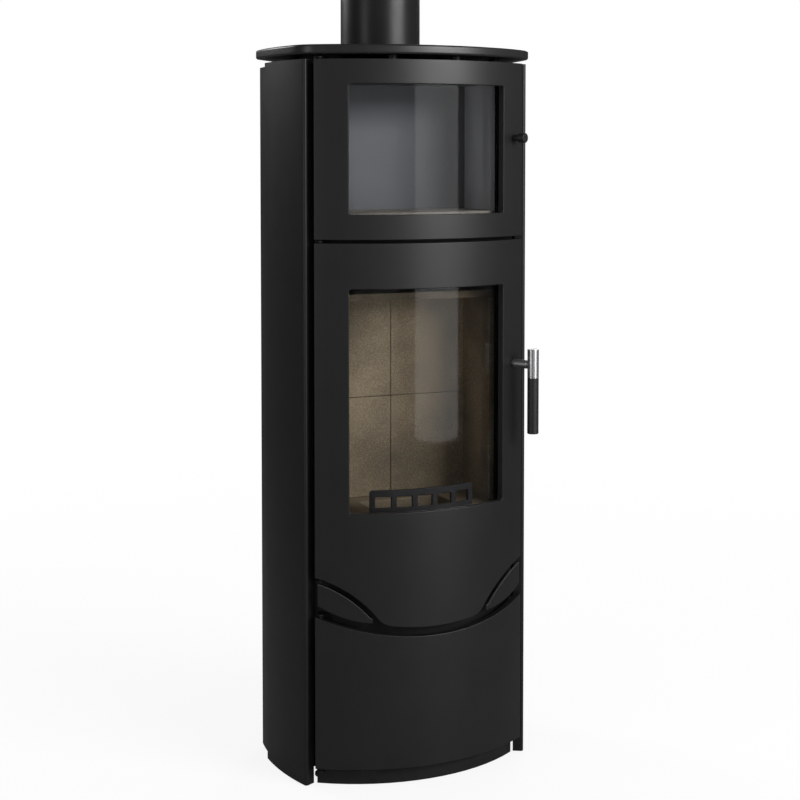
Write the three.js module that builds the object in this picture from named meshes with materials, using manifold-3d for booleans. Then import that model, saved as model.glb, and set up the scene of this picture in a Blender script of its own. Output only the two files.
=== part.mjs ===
// Tall convection wood stove with a bowed front: a baking oven over the firebox, a storage
// compartment under it. Millimetres, +Z up, the front faces -Y, the origin is on the floor under
// the middle of the body. DEEP is measured inwards from the rolled front face, and S along that
// face, from its middle.
import * as THREE from 'three';
import { mergeVertices } from 'three/addons/utils/BufferGeometryUtils.js';
import Module from 'manifold-3d';

const wasm = await Module();
wasm.setup();

// ---------------------------------------------------------------- driving dimensions
const BODY_HALF = 238.9;            // half the width over the side panels, at their widest
const BODY_DEPTH = 350;             // rolled front to back wall
const BODY_TOP = 1295;              // top of the casing and of the oven door
const FRONT_R = 361;                // radius of the rolled front, in plan
const SIDE_R = 470;                 // radius of the bowed side panels, in plan
const CLEAR = 0.3;                  // gap between pieces that touch

const SIDE_SHEET = 2.5;
const REAR_SHEET = 2;
const PLATE = 4;                    // structural plate

const WIDEST_FROM_BACK = 138;       // where the side panels are widest
const SEAM_BEHIND_WIDEST = 18;      // rear edge of the side panels
const CORNER_BEHIND_DOOR = 10.1;    // side panel's front corner, behind the door's edge
const FLANGE_TUCK = 5.1;            // its flange ends this far in behind the door
const FLANGE_RUN = 10;              // and this far behind its own corner
const FLANGE_BEND_R = 5;
const REAR_SET_IN = 4.5;            // the rear shell lies this far inside the side panels' faces
const REAR_LAP = 22;                // and starts this far in front of their rear edges
const REAR_CORNER_FROM_BACK = 57;
const REAR_BEND_R = 9;
const BACK_EDGE_IN = 73.9;          // flat back's edge, in from the body's side
const SIDE_FOOT = 1;                // side panels and plinth stop this far above the floor
const REAR_FOOT = 8;
const REAR_TOP_DROP = 6;

const LOUVRE_HALF = 110;
const LOUVRE_HEIGHT = 6;
const LOUVRE_PITCH = 16;
const LOWER_LOUVRES_Z = 70;
const UPPER_LOUVRES_DROP = 165;
const LOUVRES = 7;

const BASE_Z = 26;                  // underside of the base plate
const DECK_DROP = 10;               // underside of the top frame, below the body's top
const DECK_FRONT_DEEP = 33;
const DECK_SHOULDER = 7;
const PLINTH_DEEP = 21;
const PLINTH_SHEET = 2.5;
const PLINTH_FROM_FLANGE = 5.5;
const FOOT_R = 16;
const FOOT_THICK = 8;
const FOOT_BOLT_R = 5;
const FOOT_IN = 69;                 // front feet, in from the body's side
const FOOT_BEHIND_FRONT = 115;
const FOOT_FROM_BACK = 55;
const REAR_FOOT_IN = 15;            // rear feet, in from the flat back's edge

const COVER_THICK = 17;
const COVER_SHADOW = 8;             // gap between the body and the cover plate
const COVER_SIDE_OVERHANG = 7;
const COVER_FRONT_OVERHANG = 5;
const COVER_BACK_OVERHANG = 5;
const COVER_EDGE_R = 4;
const COVER_CORNER_R = 18;
const COVER_REAR_R = 16;
const COVER_REAR_CORNER = 21;       // its rear corner, in front of the rear shell's
const BOSS_R = 9;
const BOSS_IN = 63;                 // side bosses, in from the body's side
const BOSS_BEHIND_DOOR = 59.1;       // and behind the doors' edges
const FRONT_BOSS_X = 62;
const BOSS_FROM_BACK = 45;

const FLUE_FROM_BACK = 96;
const PIPE_R = 75;
const PIPE_WALL = 2;
const PIPE_ABOVE_COVER = 130;
const PIPE_PLAY = 2;                // round the pipe in the cover plate
const COLLAR_ABOVE_COVER = 56;
const COLLAR_WALL = 3.5;
const COLLAR_PLAY = 1;              // inside the pipe
const COLLAR_FLANGE = 15;           // flange, past the pipe's wall
const FLANGE_PLAY = 4;

const DOOR_FROM_CORNER = 13.17;      // doors' edges, in from the side panels' front corners
const DOOR_SKIN = 4;
const DOOR_DEEP = 12;               // depth of the folded rims round the doors and windows
const RIM = 5;
const DOOR_GAP = 6.1;
const OVEN_DOOR_HEIGHT = 316.8;
const STILE = 53.6;                 // door's edge to its window, across
const WINDOW_CORNER_R = 5;
const OVEN_SILL = 43.8;
const OVEN_HEAD = 43;
const FIRE_SILL = 44;               // window's lower edge above the hearth plate
const FIRE_HEAD = 80.6;

// storage door: one shallow arc along its top
const PANEL_BOTTOM = 34;
const PANEL_TOP_MID_Z = 270;
const PANEL_TOP_CURVE = 1268;
// bottom of the fire door: a low middle arc that sweeps up into a large arc on each side
const AIR_SLOT = 16;                // between the two doors, at the middle
const SWEEP_MID_CURVE = 1124;
const SWEEP_JOIN_IN = 115;          // where the large arc starts, in from the door's edge
const SWEEP_TURN = 28;              // length of the turn from one arc into the other
const SWEEP_R = 202.6;
const SWEEP_PAST_EDGE = 47;         // the large arc's centre
const SWEEP_BELOW = 104.5;
// leaf between the two doors, one on each side
const LEAF_GAP = 10;
const LEAF_OUTER_IN = 5.3;
const LEAF_OUTER_UP = 42.5;
const LEAF_TIP_IN = 102.8;
const LEAF_TIP_UP = 12.4;
const LEAF_TIP_RISE = 8;
const LEAF_BOW_IN = 54.1;
const LEAF_BOW_UP = 16.2;
const LEAF_THICK = 4;
const AIR_ROD_IN = 50;
const AIR_ROD_UP = 28;
const AIR_ROD_R = 4;
const AIR_ROD_PLAY = 0.8;
const AIR_ROD_REACH = 26;           // behind the front plate
const AIR_ROD_HEAD = 3;             // its head is this much wider
const AIR_HEAD_THICK = 6;

const FRONT_PLATE_DEEP = 25;
const FRONT_PLATE_PAST_DOOR = 7;
const FRONT_PLATE_BELOW = 8;        // below the middle of the storage door's top
const MOUTH_BELOW = 6;              // mouths reach past the windows
const MOUTH_ABOVE = 5;
const MOUTH_CORNER_R = 1;
const MOUTH_FROM_SEAL = 3.5;
const ASH_MOUTH_HALF = 116;
const ASH_MOUTH_DROP = 6;

const SIDE_DUCT = 53.9;             // inner body to the side panel's face, at its widest
const SHELL_FROM_BACK = 13;
const SHELL_CHAMFER_X = 35;
const SHELL_CHAMFER_Y = 42;
const SHELL_TOP_DROP = 15;          // inner body's top, below the top frame
const CHEEK_SHEET = 2.5;
const CHEEK_BEHIND_PLATE = 11;
const CHEEK_FROM_CHAMFER = 4;
const VENT_HALF = 7;
const VENT_FROM_CHEEK = 7;
const VENT_FRONT_Y = -40;
const BASE_VENT_BACK_Y = 25;
const DECK_VENT_BACK_Y = 90;

const HEARTH_Z = 450;
const ASH_CHAMBER = 70;
const BRICK = 30;
const FLUE_PASSAGE = 95.7;          // rising gas duct behind the rear lining
const LINING_DROP = 34.5;           // linings stop this far below the mouth's top
const LINING_PLAY = 2;              // linings and stone to the front plate
const SIDE_BRICK_BACK = 6;          // side linings start this far behind it
const BAFFLE_THICK = 14;
const BAFFLE_REACH = 98;
const DIVIDER_RISE = 30;
const GRATE_LIP = 8;
const GRATE_THICK = 12;
const GRATE_BARS = 9;
const GRATE_SLOT = 8;
const GRATE_MARGIN = 12;
const GRATE_IN_PAN = 12;            // grate's edge, in from the pan's
const GRATE_FRONT_IN = 28;
const GRATE_FROM_LINING = 38;
const GUARD_DEEP = 42;
const GUARD_THICK = 6;
const GUARD_HALF = 118;
const GUARD_HEIGHT = 42;
const GUARD_POST = 12;
const GUARD_FOOT = 10;
const GUARD_GAPS = 5;

const PAN_FROM_MOUTH = 12.9;          // pan's side to the mouth's edge
const PAN_BEHIND_PLATE = 5;
const PAN_UNDER_LINING = 7;
const PAN_UNDER_HEARTH = 9.7;
const PAN_SHEET = 1.5;
const PULL_HALF = 25;
const PULL_REACH = 11;
const PULL_DROP = 14;

const OVEN_PAST_MOUTH = 1.6;
const OVEN_FROM_LINING = 3;
const OVEN_SHEET = 3;
const STONE_THICK = 9;
const STONE_PLAY = 2;
const CEILING_UP = 10;
const CEILING_SHEET = 2;

const HINGE_DEEP = 7.7;             // hinge axis behind the front face
const HINGE_FROM_EDGE = 9;          // hinge axis in from the door's edge, along the face
const HINGE_PIN_R = 3;
const HINGE_PLAY = 0.5;
const HINGE_PIN_REACH = 10;
const LUG_HALF = 8;
const LUG_NOSE_R = 5;
const LUG_ON_DECK = 17;
const BRACKET_THICK = 3;
const BRACKET_GAP = 1.5;            // between a bracket and the door it carries

const GRIP_FROM_EDGE = 25;          // handle and knob, in from the door's edge, across
const HANDLE_Z = 743.6;
const HANDLE_STAND_OFF = 43;
const HANDLE_BAR_R = 10.4;
const SLEEVE_ABOVE = 28.9;
const SLEEVE_BELOW = 24.1;
const GRIP_LENGTH = 102.5;
const SPINDLE_R = 5;
const SPINDLE_TIP_R = 4;
const SPINDLE_PLAY = 0.5;
const STEM_R = 8;
const STEM_SEAT = 3;                // the stem's shoulder, short of its end
const CAM_DEEP = 16.5;
const CAM_THICK = 4;
const CAM_REACH = 16.5;
const CAM_HALF = 5;
const CAM_HUB_R = 7.5;
const KEEPER_GAP = 3;
const KEEPER_WIDE = 5;
const KEEPER_HALF = 12;
const KEEPER_PAST_CAM = 2;
const KNOB_ABOVE_SILL = 136;
const KNOB_R = 9;
const KNOB_NECK_R = 6;
const KNOB_FACE = 25;
const KNOB_LENGTH = 13;
const KNOB_EDGE = 0.8;
const KNOB_CAP = 5;                 // thickness in front of the screw
const KNOB_SCREW_R = 4;
const SCREW_HEAD = 3;               // wider and thicker than the shank by this much
const CATCH_IN = 17;
const CATCH_WIDE = 16;
const CATCH_HALF = 10;
const CATCH_BELOW = 28.5;           // storage door's catch, below the door's top there

const LINER_SHEET = 2;
const LINER_INSET = 20;
const PANE = 4;
const PANE_LAP = 7;
const RAIL_SHEET = 2;
const RAIL_LAP = 5;
const RAIL_PAST = 3;
const SEAL_WIDE = 9;
const SEAL_FROM_HUB = 0.9;          // outer edge of the seals, in from the latch cam's hub
const SEAL_CORNER_R = 8;
const SEAL_BELOW = 13;              // seals run round the mouths
const SEAL_ABOVE = 14;
const ASH_SEAL_BELOW = 11.7;

const ARC_STEPS = 20;
const FLUE_STEPS = 34;
const SHELL_FRONT_STEPS = 180;      // of the full turn
const SHELL_FLUE_STEPS = 24;
const ROUND_STEPS = 18;
const PIN_STEPS = 12;

// ---------------------------------------------------------------- worked out from them
const FRONT_Y = -BODY_DEPTH / 2;
const BACK_Y = BODY_DEPTH / 2;
const ARC_Y = FRONT_Y + FRONT_R;
const angleAt = (x, r = FRONT_R) => Math.asin(x / r);
const along = (x) => FRONT_R * angleAt(x);
const arcY = (x, deep) => ARC_Y - Math.sqrt((FRONT_R - deep) ** 2 - x * x);

const WIDEST_Y = BACK_Y - WIDEST_FROM_BACK;
const SIDE_SEAM_Y = WIDEST_Y + SEAM_BEHIND_WIDEST;
const sideX = (y, inset = 0) => {
  return Math.sqrt((SIDE_R - inset) ** 2 - (y - WIDEST_Y) ** 2) - (SIDE_R - BODY_HALF);
};
// The door's edge and the side panel's corner each follow from the other, so they are found by turns.
let doorHalfX = BODY_HALF / 2;
for (let i = 0; i < 40; i += 1) {
  doorHalfX = sideX(arcY(doorHalfX, 0) + CORNER_BEHIND_DOOR) - DOOR_FROM_CORNER;
}
const DOOR_HALF_X = doorHalfX;
const DOOR_HALF = along(DOOR_HALF_X);
const DOOR_EDGE_Y = arcY(DOOR_HALF_X, 0);
const WINDOW_HALF = along(DOOR_HALF_X - STILE);
const GRIP_X = DOOR_HALF_X - GRIP_FROM_EDGE;
const GRIP_S = along(GRIP_X);
const GRIP_ANGLE = angleAt(GRIP_X);
const SEAL_OUT = GRIP_S - CAM_HUB_R - SEAL_FROM_HUB;
const SEAL_IN = SEAL_OUT - SEAL_WIDE;
const MOUTH_HALF = SEAL_IN - MOUTH_FROM_SEAL;
const FRONT_PLATE_BACK = FRONT_PLATE_DEEP + PLATE;
const BEHIND_PLATE = FRONT_PLATE_BACK + CLEAR;

const SIDE_CORNER_Y = DOOR_EDGE_Y + CORNER_BEHIND_DOOR;
const FLANGE_END_X = DOOR_HALF_X - FLANGE_TUCK;
const FLANGE_END_Y = SIDE_CORNER_Y + FLANGE_RUN;
const PLINTH_HALF_X = FLANGE_END_X - PLINTH_FROM_FLANGE;
const REAR_CORNER_Y = BACK_Y - REAR_CORNER_FROM_BACK;
const BACK_HALF = BODY_HALF - BACK_EDGE_IN;
const DECK_Z = BODY_TOP - DECK_DROP;
const COVER_Z = BODY_TOP + COVER_SHADOW;
const COVER_TOP = COVER_Z + COVER_THICK;
const FLUE_Y = BACK_Y - FLUE_FROM_BACK;

const OVEN_DOOR_BOTTOM = BODY_TOP - OVEN_DOOR_HEIGHT;
const FIRE_DOOR_TOP = OVEN_DOOR_BOTTOM - DOOR_GAP;
const OVEN_WINDOW = { low: OVEN_DOOR_BOTTOM + OVEN_SILL, high: BODY_TOP - OVEN_HEAD };
const FIRE_WINDOW = { low: HEARTH_Z + FIRE_SILL, high: FIRE_DOOR_TOP - FIRE_HEAD };
const mouthOf = ({ low, high }) => ({ half: MOUTH_HALF, low: low - MOUTH_BELOW, high: high + MOUTH_ABOVE });
const OVEN_MOUTH = mouthOf(OVEN_WINDOW);
const FIRE_MOUTH = mouthOf(FIRE_WINDOW);
const SHELL_BOTTOM = HEARTH_Z - ASH_CHAMBER;
const SHELL_TOP = DECK_Z - SHELL_TOP_DROP;
const ASH_MOUTH = {
  half: ASH_MOUTH_HALF, low: SHELL_BOTTOM + PLATE + CLEAR, high: HEARTH_Z - ASH_MOUTH_DROP,
};
const LINING_TOP = FIRE_MOUTH.high - LINING_DROP;
const KNOB_Z = OVEN_WINDOW.low + KNOB_ABOVE_SILL;

const SHELL_HALF = BODY_HALF - SIDE_DUCT;
const SHELL_BACK = BACK_Y - SHELL_FROM_BACK;
const CHAMFER_Y = SHELL_BACK - SHELL_CHAMFER_Y;
const DIVIDER_Y = SHELL_BACK - PLATE - FLUE_PASSAGE - PLATE;
const FIRE_BACK_Y = DIVIDER_Y - CLEAR - BRICK;

const HINGE_ANGLE = (DOOR_HALF - HINGE_FROM_EDGE) / FRONT_R;
const HINGE_S = HINGE_ANGLE * FRONT_R;
const HINGE_R = FRONT_R - HINGE_DEEP;
const HINGE_X = -HINGE_R * Math.sin(HINGE_ANGLE);
const HINGE_Y = ARC_Y - HINGE_R * Math.cos(HINGE_ANGLE);

const SWEEP_MID_Z = PANEL_TOP_MID_Z + AIR_SLOT;
const SWEEP_JOIN = DOOR_HALF - SWEEP_JOIN_IN;
const SWEEP_MID_END = SWEEP_JOIN - SWEEP_TURN;
const SWEEP_S = DOOR_HALF + SWEEP_PAST_EDGE;
const SWEEP_Z = SWEEP_MID_Z - SWEEP_BELOW;
const AIR_ROD_X = FRONT_R * Math.sin((DOOR_HALF - AIR_ROD_IN) / FRONT_R);
const AIR_ROD_Z = SWEEP_MID_Z + AIR_ROD_UP;
const panelTop = (s) => PANEL_TOP_MID_Z + (s * s) / PANEL_TOP_CURVE;
const sweepMid = (s) => SWEEP_MID_Z + (s * s) / SWEEP_MID_CURVE;
const sweepArc = (s, gap = 0) => SWEEP_Z + Math.sqrt((SWEEP_R - gap) ** 2 - (s - SWEEP_S) ** 2);

// ---------------------------------------------------------------- materials
function finish(color, roughness, metalness = 0) {
  return new THREE.MeshStandardMaterial({ color, roughness, metalness });
}
const STOVE_PAINT = finish(0x3b3b3d, 0.5, 0.3);
const TOP_PAINT = finish(0x404042, 0.5, 0.3);
const DARK_STEEL = finish(0x161616, 0.75, 0.3);
const INNER_STEEL = finish(0x3a3a3a, 0.7, 0.4);
const PIPE_STEEL = finish(0x333335, 0.6, 0.3);
const BRIGHT_STEEL = finish(0xb9bbbd, 0.28, 1);
const OVEN_STEEL = finish(0x9b9b9b, 0.4, 0.8);
const CAST_IRON = finish(0x2b2b2b, 0.7, 0.4);
const FIREBRICK = finish(0xc9ab78, 0.95);
const STONE = finish(0xb5a78f, 0.9);
const GLASS = finish(0x33383a, 0.05);
GLASS.transparent = true;
GLASS.opacity = 0.35;
const ROPE = finish(0x3b3a38, 0.95);
const GRIP_BLACK = finish(0x111111, 0.45);

// ---------------------------------------------------------------- solids
const OVERCUT = 5;                  // cutting tools reach this far past what they cut

function solidOf(geometry) {
  const bare = geometry.index ? geometry.toNonIndexed() : geometry.clone();
  bare.deleteAttribute('normal');
  bare.deleteAttribute('uv');
  const merged = mergeVertices(bare, 1e-4);
  return new wasm.Manifold(new wasm.Mesh({
    numProp: 3,
    vertProperties: new Float32Array(merged.attributes.position.array),
    triVerts: new Uint32Array(merged.index.array),
  }));
}

function geometryOf(solid) {
  const mesh = solid.getMesh();
  const geometry = new THREE.BufferGeometry();
  geometry.setAttribute('position', new THREE.BufferAttribute(new Float32Array(mesh.vertProperties), 3));
  geometry.setIndex(new THREE.BufferAttribute(new Uint32Array(mesh.triVerts), 1));
  const flat = geometry.toNonIndexed();
  flat.computeVertexNormals();
  return flat;
}

const join = (...solids) => solids.reduce((sum, next) => sum.add(next));
const cut = (solid, ...tools) => tools.reduce((rest, tool) => rest.subtract(tool), solid);

// A straight prism over a plan outline, from z0 up to z1.
function prism(shape, z0, z1) {
  const depth = z1 - z0;
  const geometry = new THREE.ExtrudeGeometry(shape, { depth, bevelEnabled: false, curveSegments: 6 });
  return solidOf(geometry.translate(0, 0, z0));
}

function block(x0, x1, y0, y1, z0, z1) {
  const geometry = new THREE.BoxGeometry(x1 - x0, y1 - y0, z1 - z0);
  return solidOf(geometry.translate((x0 + x1) / 2, (y0 + y1) / 2, (z0 + z1) / 2));
}

function uprightCylinder(x, y, r, z0, z1, steps = ROUND_STEPS) {
  const geometry = new THREE.CylinderGeometry(r, r, z1 - z0, steps).rotateX(Math.PI / 2);
  return solidOf(geometry.translate(x, y, (z0 + z1) / 2));
}

// A cylinder along Y, for rods and bores that run front to back.
function levelCylinder(x, z, r, y0, y1, steps = PIN_STEPS) {
  const geometry = new THREE.CylinderGeometry(r, r, y1 - y0, steps);
  return solidOf(geometry.translate(x, (y0 + y1) / 2, z));
}

function pathShape(points) {
  return new THREE.Shape(points.map(([x, y]) => new THREE.Vector2(x, y)));
}

function roundedRect(half, low, high, r) {
  const shape = new THREE.Shape();
  shape.moveTo(-half + r, low);
  shape.lineTo(half - r, low);
  shape.absarc(half - r, low + r, r, -Math.PI / 2, 0);
  shape.lineTo(half, high - r);
  shape.absarc(half - r, high - r, r, 0, Math.PI / 2);
  shape.lineTo(-half + r, high);
  shape.absarc(-half + r, high - r, r, Math.PI / 2, Math.PI);
  shape.lineTo(-half, low + r);
  shape.absarc(-half + r, low + r, r, Math.PI, 1.5 * Math.PI);
  return shape;
}

// A sheet rolled to the front's curve. Its outline is drawn flat: along the face, and up.
const ROLL_HALF_ANGLE = 0.75;
function rollPoints(deep) {
  const r = FRONT_R - deep;
  const points = [];
  for (let i = 0; i <= ARC_STEPS; i += 1) {
    const a = -ROLL_HALF_ANGLE + (2 * ROLL_HALF_ANGLE * i) / ARC_STEPS;
    points.push([r * Math.sin(a), ARC_Y - r * Math.cos(a)]);
  }
  return points;
}

function rolledRing(deep0, deep1, z0, z1) {
  return prism(pathShape([...rollPoints(deep0), ...rollPoints(deep1).reverse()]), z0, z1);
}

// The same outline as a wedge of radial walls, reaching past the rolled sheets on both sides.
const WEDGE_OUT = 130;
const WEDGE_IN = 90;
function radialWedge(shape) {
  const geometry = new THREE.ExtrudeGeometry(shape, { depth: 1, bevelEnabled: false, curveSegments: 2 });
  const spots = geometry.attributes.position;
  for (let i = 0; i < spots.count; i += 1) {
    const a = spots.getX(i) / FRONT_R;
    const r = FRONT_R + (spots.getZ(i) > 0.5 ? WEDGE_OUT : -WEDGE_IN);
    spots.setXYZ(i, r * Math.sin(a), ARC_Y - r * Math.cos(a), spots.getY(i));
  }
  return solidOf(geometry);
}

function rolledSheet(shape, deep0, deep1) {
  const wedge = radialWedge(shape);
  const box = wedge.boundingBox();
  return rolledRing(deep0, deep1, box.min[2] - OVERCUT, box.max[2] + OVERCUT).intersect(wedge);
}

const rolledRect = (s0, s1, z0, z1, deep0, deep1) => {
  return rolledSheet(pathShape([[s0, z0], [s1, z0], [s1, z1], [s0, z1]]), deep0, deep1);
};

// All that lies behind the rolled front at a given depth.
function behindFront(deep, z0, z1) {
  const front = rollPoints(deep);
  const side = front[ARC_STEPS][0];
  return prism(pathShape([...front, [side, BACK_Y + OVERCUT], [-side, BACK_Y + OVERCUT]]), z0, z1);
}

// A bent sheet seen in plan: its outer face follows the points, its thickness lies to the left
// of the way they run.
function bentSheet(points, thickness, z0, z1) {
  const inner = points.map((point, i) => {
    const before = points[Math.max(i - 1, 0)];
    const after = points[Math.min(i + 1, points.length - 1)];
    const lead = new THREE.Vector2(point[0] - before[0], point[1] - before[1]).normalize();
    const tail = new THREE.Vector2(after[0] - point[0], after[1] - point[1]).normalize();
    if (i === 0) lead.copy(tail);
    if (i === points.length - 1) tail.copy(lead);
    const way = lead.clone().add(tail).normalize();
    const mitre = thickness / way.dot(lead);
    return [point[0] - way.y * mitre, point[1] + way.x * mitre];
  });
  return prism(pathShape([...points, ...inner.reverse()]), z0, z1);
}

// Rounds the corner at `corner` between two straight runs, as points on an arc.
function bend(before, corner, after, r, steps) {
  const a = new THREE.Vector2(before[0] - corner[0], before[1] - corner[1]).normalize();
  const b = new THREE.Vector2(after[0] - corner[0], after[1] - corner[1]).normalize();
  const half = Math.acos(a.dot(b)) / 2;
  const reach = r / Math.tan(half);
  const middle = a.clone().add(b).normalize().multiplyScalar(r / Math.sin(half));
  const start = a.clone().multiplyScalar(reach).sub(middle);
  const end = b.clone().multiplyScalar(reach).sub(middle);
  const from = Math.atan2(start.y, start.x);
  let turn = Math.atan2(end.y, end.x) - from;
  if (turn > Math.PI) turn -= 2 * Math.PI;
  if (turn < -Math.PI) turn += 2 * Math.PI;
  const points = [];
  for (let i = 0; i <= steps; i += 1) {
    const t = from + (turn * i) / steps;
    points.push([corner[0] + middle.x + r * Math.cos(t), corner[1] + middle.y + r * Math.sin(t)]);
  }
  return points;
}

const mirrored = (points) => points.map(([x, y]) => [-x, y]).reverse();
const mirroredSolid = (solid) => solid.mirror([1, 0, 0]);

// Points down the right side's arc, from y0 to y1, at a given inset.
function sideArc(y0, y1, inset, steps) {
  const points = [];
  for (let i = 0; i <= steps; i += 1) {
    const y = y0 + ((y1 - y0) * i) / steps;
    points.push([sideX(y, inset), y]);
  }
  return points;
}

// ---------------------------------------------------------------- the model
const stove = new THREE.Group();
stove.name = 'oven_stove';

function add(name, solid, material, parent = stove) {
  const mesh = new THREE.Mesh(geometryOf(solid), material);
  mesh.name = name;
  parent.add(mesh);
  return mesh;
}

// ---- base plate and top frame: one outline, which touches both side panels and the rear shell
const SEAT_INSET = SIDE_SHEET + CLEAR;
const REAR_INSET = REAR_SET_IN + REAR_SHEET + CLEAR;
const REAR_LAP_Y = SIDE_SEAM_Y - REAR_LAP;
const BACK_SEAT_Y = BACK_Y - REAR_SHEET - CLEAR;

function deckShape() {
  const right = [];
  const frontSteps = 10;
  for (let i = 0; i <= frontSteps; i += 1) {
    const x = (PLINTH_HALF_X * i) / frontSteps;
    right.push([x, arcY(x, DECK_FRONT_DEEP)]);
  }
  const shoulderY = arcY(PLINTH_HALF_X, DECK_FRONT_DEEP) + DECK_SHOULDER;
  const lapY = REAR_LAP_Y - 2 * CLEAR;
  right.push(...sideArc(shoulderY, lapY, SEAT_INSET, 5));
  right.push(...sideArc(lapY, REAR_CORNER_Y - REAR_BEND_R / 2, REAR_INSET, 3));
  right.push([BACK_HALF - REAR_SHEET, BACK_SEAT_Y]);
  return pathShape([...right, ...mirrored(right.slice(1))]);
}

const deck = deckShape();
const CHEEK_X = SHELL_HALF + CLEAR;
const VENT_X = CHEEK_X + CHEEK_SHEET + VENT_FROM_CHEEK + VENT_HALF;
const ventSlots = (y0, y1, z) => [-VENT_X, VENT_X].map((x) => {
  return block(x - VENT_HALF, x + VENT_HALF, y0, y1, z - OVERCUT, z + PLATE + OVERCUT);
});

const hingePin = (z0, z1) => uprightCylinder(HINGE_X, HINGE_Y, HINGE_PIN_R, z0, z1, PIN_STEPS);
// A flat lug from the hinge axis back to a given depth, square to the rolled front.
function hingeLug(z0, z1, deepEnd) {
  const lug = new THREE.Shape();
  lug.moveTo(-LUG_HALF, deepEnd - HINGE_DEEP);
  lug.lineTo(-LUG_HALF, 0);
  lug.absarc(0, 0, LUG_NOSE_R, Math.PI, 2 * Math.PI);
  lug.lineTo(LUG_HALF, deepEnd - HINGE_DEEP);
  const geometry = new THREE.ExtrudeGeometry(lug, { depth: z1 - z0, bevelEnabled: false, curveSegments: 6 });
  geometry.rotateZ(-HINGE_ANGLE);
  return solidOf(geometry.translate(HINGE_X, HINGE_Y, z0));
}

const basePlate = cut(
  join(prism(deck, BASE_Z, BASE_Z + PLATE), hingeLug(BASE_Z, BASE_Z + PLATE, DECK_FRONT_DEEP + LUG_HALF)),
  ...ventSlots(VENT_FRONT_Y, BASE_VENT_BACK_Y, BASE_Z),
);
add('base_plate', join(basePlate, hingePin(BASE_Z, PANEL_BOTTOM + HINGE_PIN_REACH)), DARK_STEEL);

const flueHoleR = PIPE_R + COLLAR_FLANGE + FLANGE_PLAY;
const topFrame = cut(
  prism(deck, DECK_Z, DECK_Z + PLATE),
  uprightCylinder(0, FLUE_Y, flueHoleR, DECK_Z - OVERCUT, DECK_Z + PLATE + OVERCUT, FLUE_STEPS),
  ...ventSlots(VENT_FRONT_Y, DECK_VENT_BACK_Y, DECK_Z),
);
add('top_frame', topFrame, DARK_STEEL);

const plinthHalf = FRONT_R * angleAt(PLINTH_HALF_X, FRONT_R - PLINTH_DEEP);
const plinth = rolledRect(
  -plinthHalf, plinthHalf, SIDE_FOOT, BASE_Z - CLEAR, PLINTH_DEEP, PLINTH_DEEP + PLINTH_SHEET,
);
add('plinth', plinth, STOVE_PAINT);

const frontFootX = BODY_HALF - FOOT_IN;
const rearFootX = BACK_HALF - REAR_FOOT_IN;
const frontFootY = FRONT_Y + FOOT_BEHIND_FRONT;
const rearFootY = BACK_Y - FOOT_FROM_BACK;
const footSpots = [
  [-frontFootX, frontFootY], [frontFootX, frontFootY], [-rearFootX, rearFootY], [rearFootX, rearFootY],
];
footSpots.forEach(([x, y], i) => {
  const foot = join(
    uprightCylinder(x, y, FOOT_R, 0, FOOT_THICK),
    uprightCylinder(x, y, FOOT_BOLT_R, FOOT_THICK / 2, BASE_Z - CLEAR, PIN_STEPS),
  );
  add(`levelling_foot_${i + 1}`, foot, DARK_STEEL);
});

// ---- outer casing: bowed side panels with a flange folded in, and the rear shell inside their edges
const PANEL_RUN_Y = SIDE_CORNER_Y + 2.8 * FLANGE_BEND_R;
const cornerPoint = [sideX(SIDE_CORNER_Y), SIDE_CORNER_Y];
const afterCorner = [sideX(PANEL_RUN_Y), PANEL_RUN_Y];
const flangeEnd = [FLANGE_END_X, FLANGE_END_Y];
const sidePoints = [
  flangeEnd,
  ...bend(flangeEnd, cornerPoint, afterCorner, FLANGE_BEND_R, 5),
  ...sideArc(PANEL_RUN_Y, SIDE_SEAM_Y, 0, 8),
];
const rightPanel = bentSheet(sidePoints, SIDE_SHEET, SIDE_FOOT, BODY_TOP);
add('right_side_panel', rightPanel, STOVE_PAINT);
add('left_side_panel', mirroredSolid(rightPanel), STOVE_PAINT);

const rearSide = sideArc(REAR_LAP_Y, REAR_CORNER_Y - REAR_BEND_R, REAR_SET_IN, 4);
const rearCorner = [sideX(REAR_CORNER_Y, REAR_SET_IN), REAR_CORNER_Y];
const backCorner = [BACK_HALF, BACK_Y];
const rearHalf = [
  ...rearSide,
  ...bend(rearSide[rearSide.length - 1], rearCorner, backCorner, REAR_BEND_R, 3),
  ...bend(rearCorner, backCorner, [0, BACK_Y], REAR_BEND_R, 3),
];
const rearPath = [...rearHalf, ...mirrored(rearHalf)];
let rearShell = bentSheet(rearPath, REAR_SHEET, REAR_FOOT, BODY_TOP - REAR_TOP_DROP);
for (let i = 0; i < LOUVRES; i += 1) {
  for (const bottom of [LOWER_LOUVRES_Z, BODY_TOP - UPPER_LOUVRES_DROP]) {
    const z = bottom + i * LOUVRE_PITCH;
    const slot = block(-LOUVRE_HALF, LOUVRE_HALF, BACK_Y - OVERCUT, BACK_Y + OVERCUT, z, z + LOUVRE_HEIGHT);
    rearShell = cut(rearShell, slot);
  }
}
add('rear_shell', rearShell, STOVE_PAINT);

// ---- cheeks: they stand between base plate and top frame, beside the inner body
const cheekOut = CHEEK_X + CHEEK_SHEET;
const cheekFront = arcY(cheekOut, BEHIND_PLATE) + CHEEK_BEHIND_PLATE;
const cheekBack = CHAMFER_Y - CHEEK_FROM_CHAMFER;
const cheek = block(CHEEK_X, cheekOut, cheekFront, cheekBack, BASE_Z + PLATE + CLEAR, DECK_Z - CLEAR);
add('right_cheek', cheek, DARK_STEEL);
add('left_cheek', mirroredSolid(cheek), DARK_STEEL);

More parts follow.
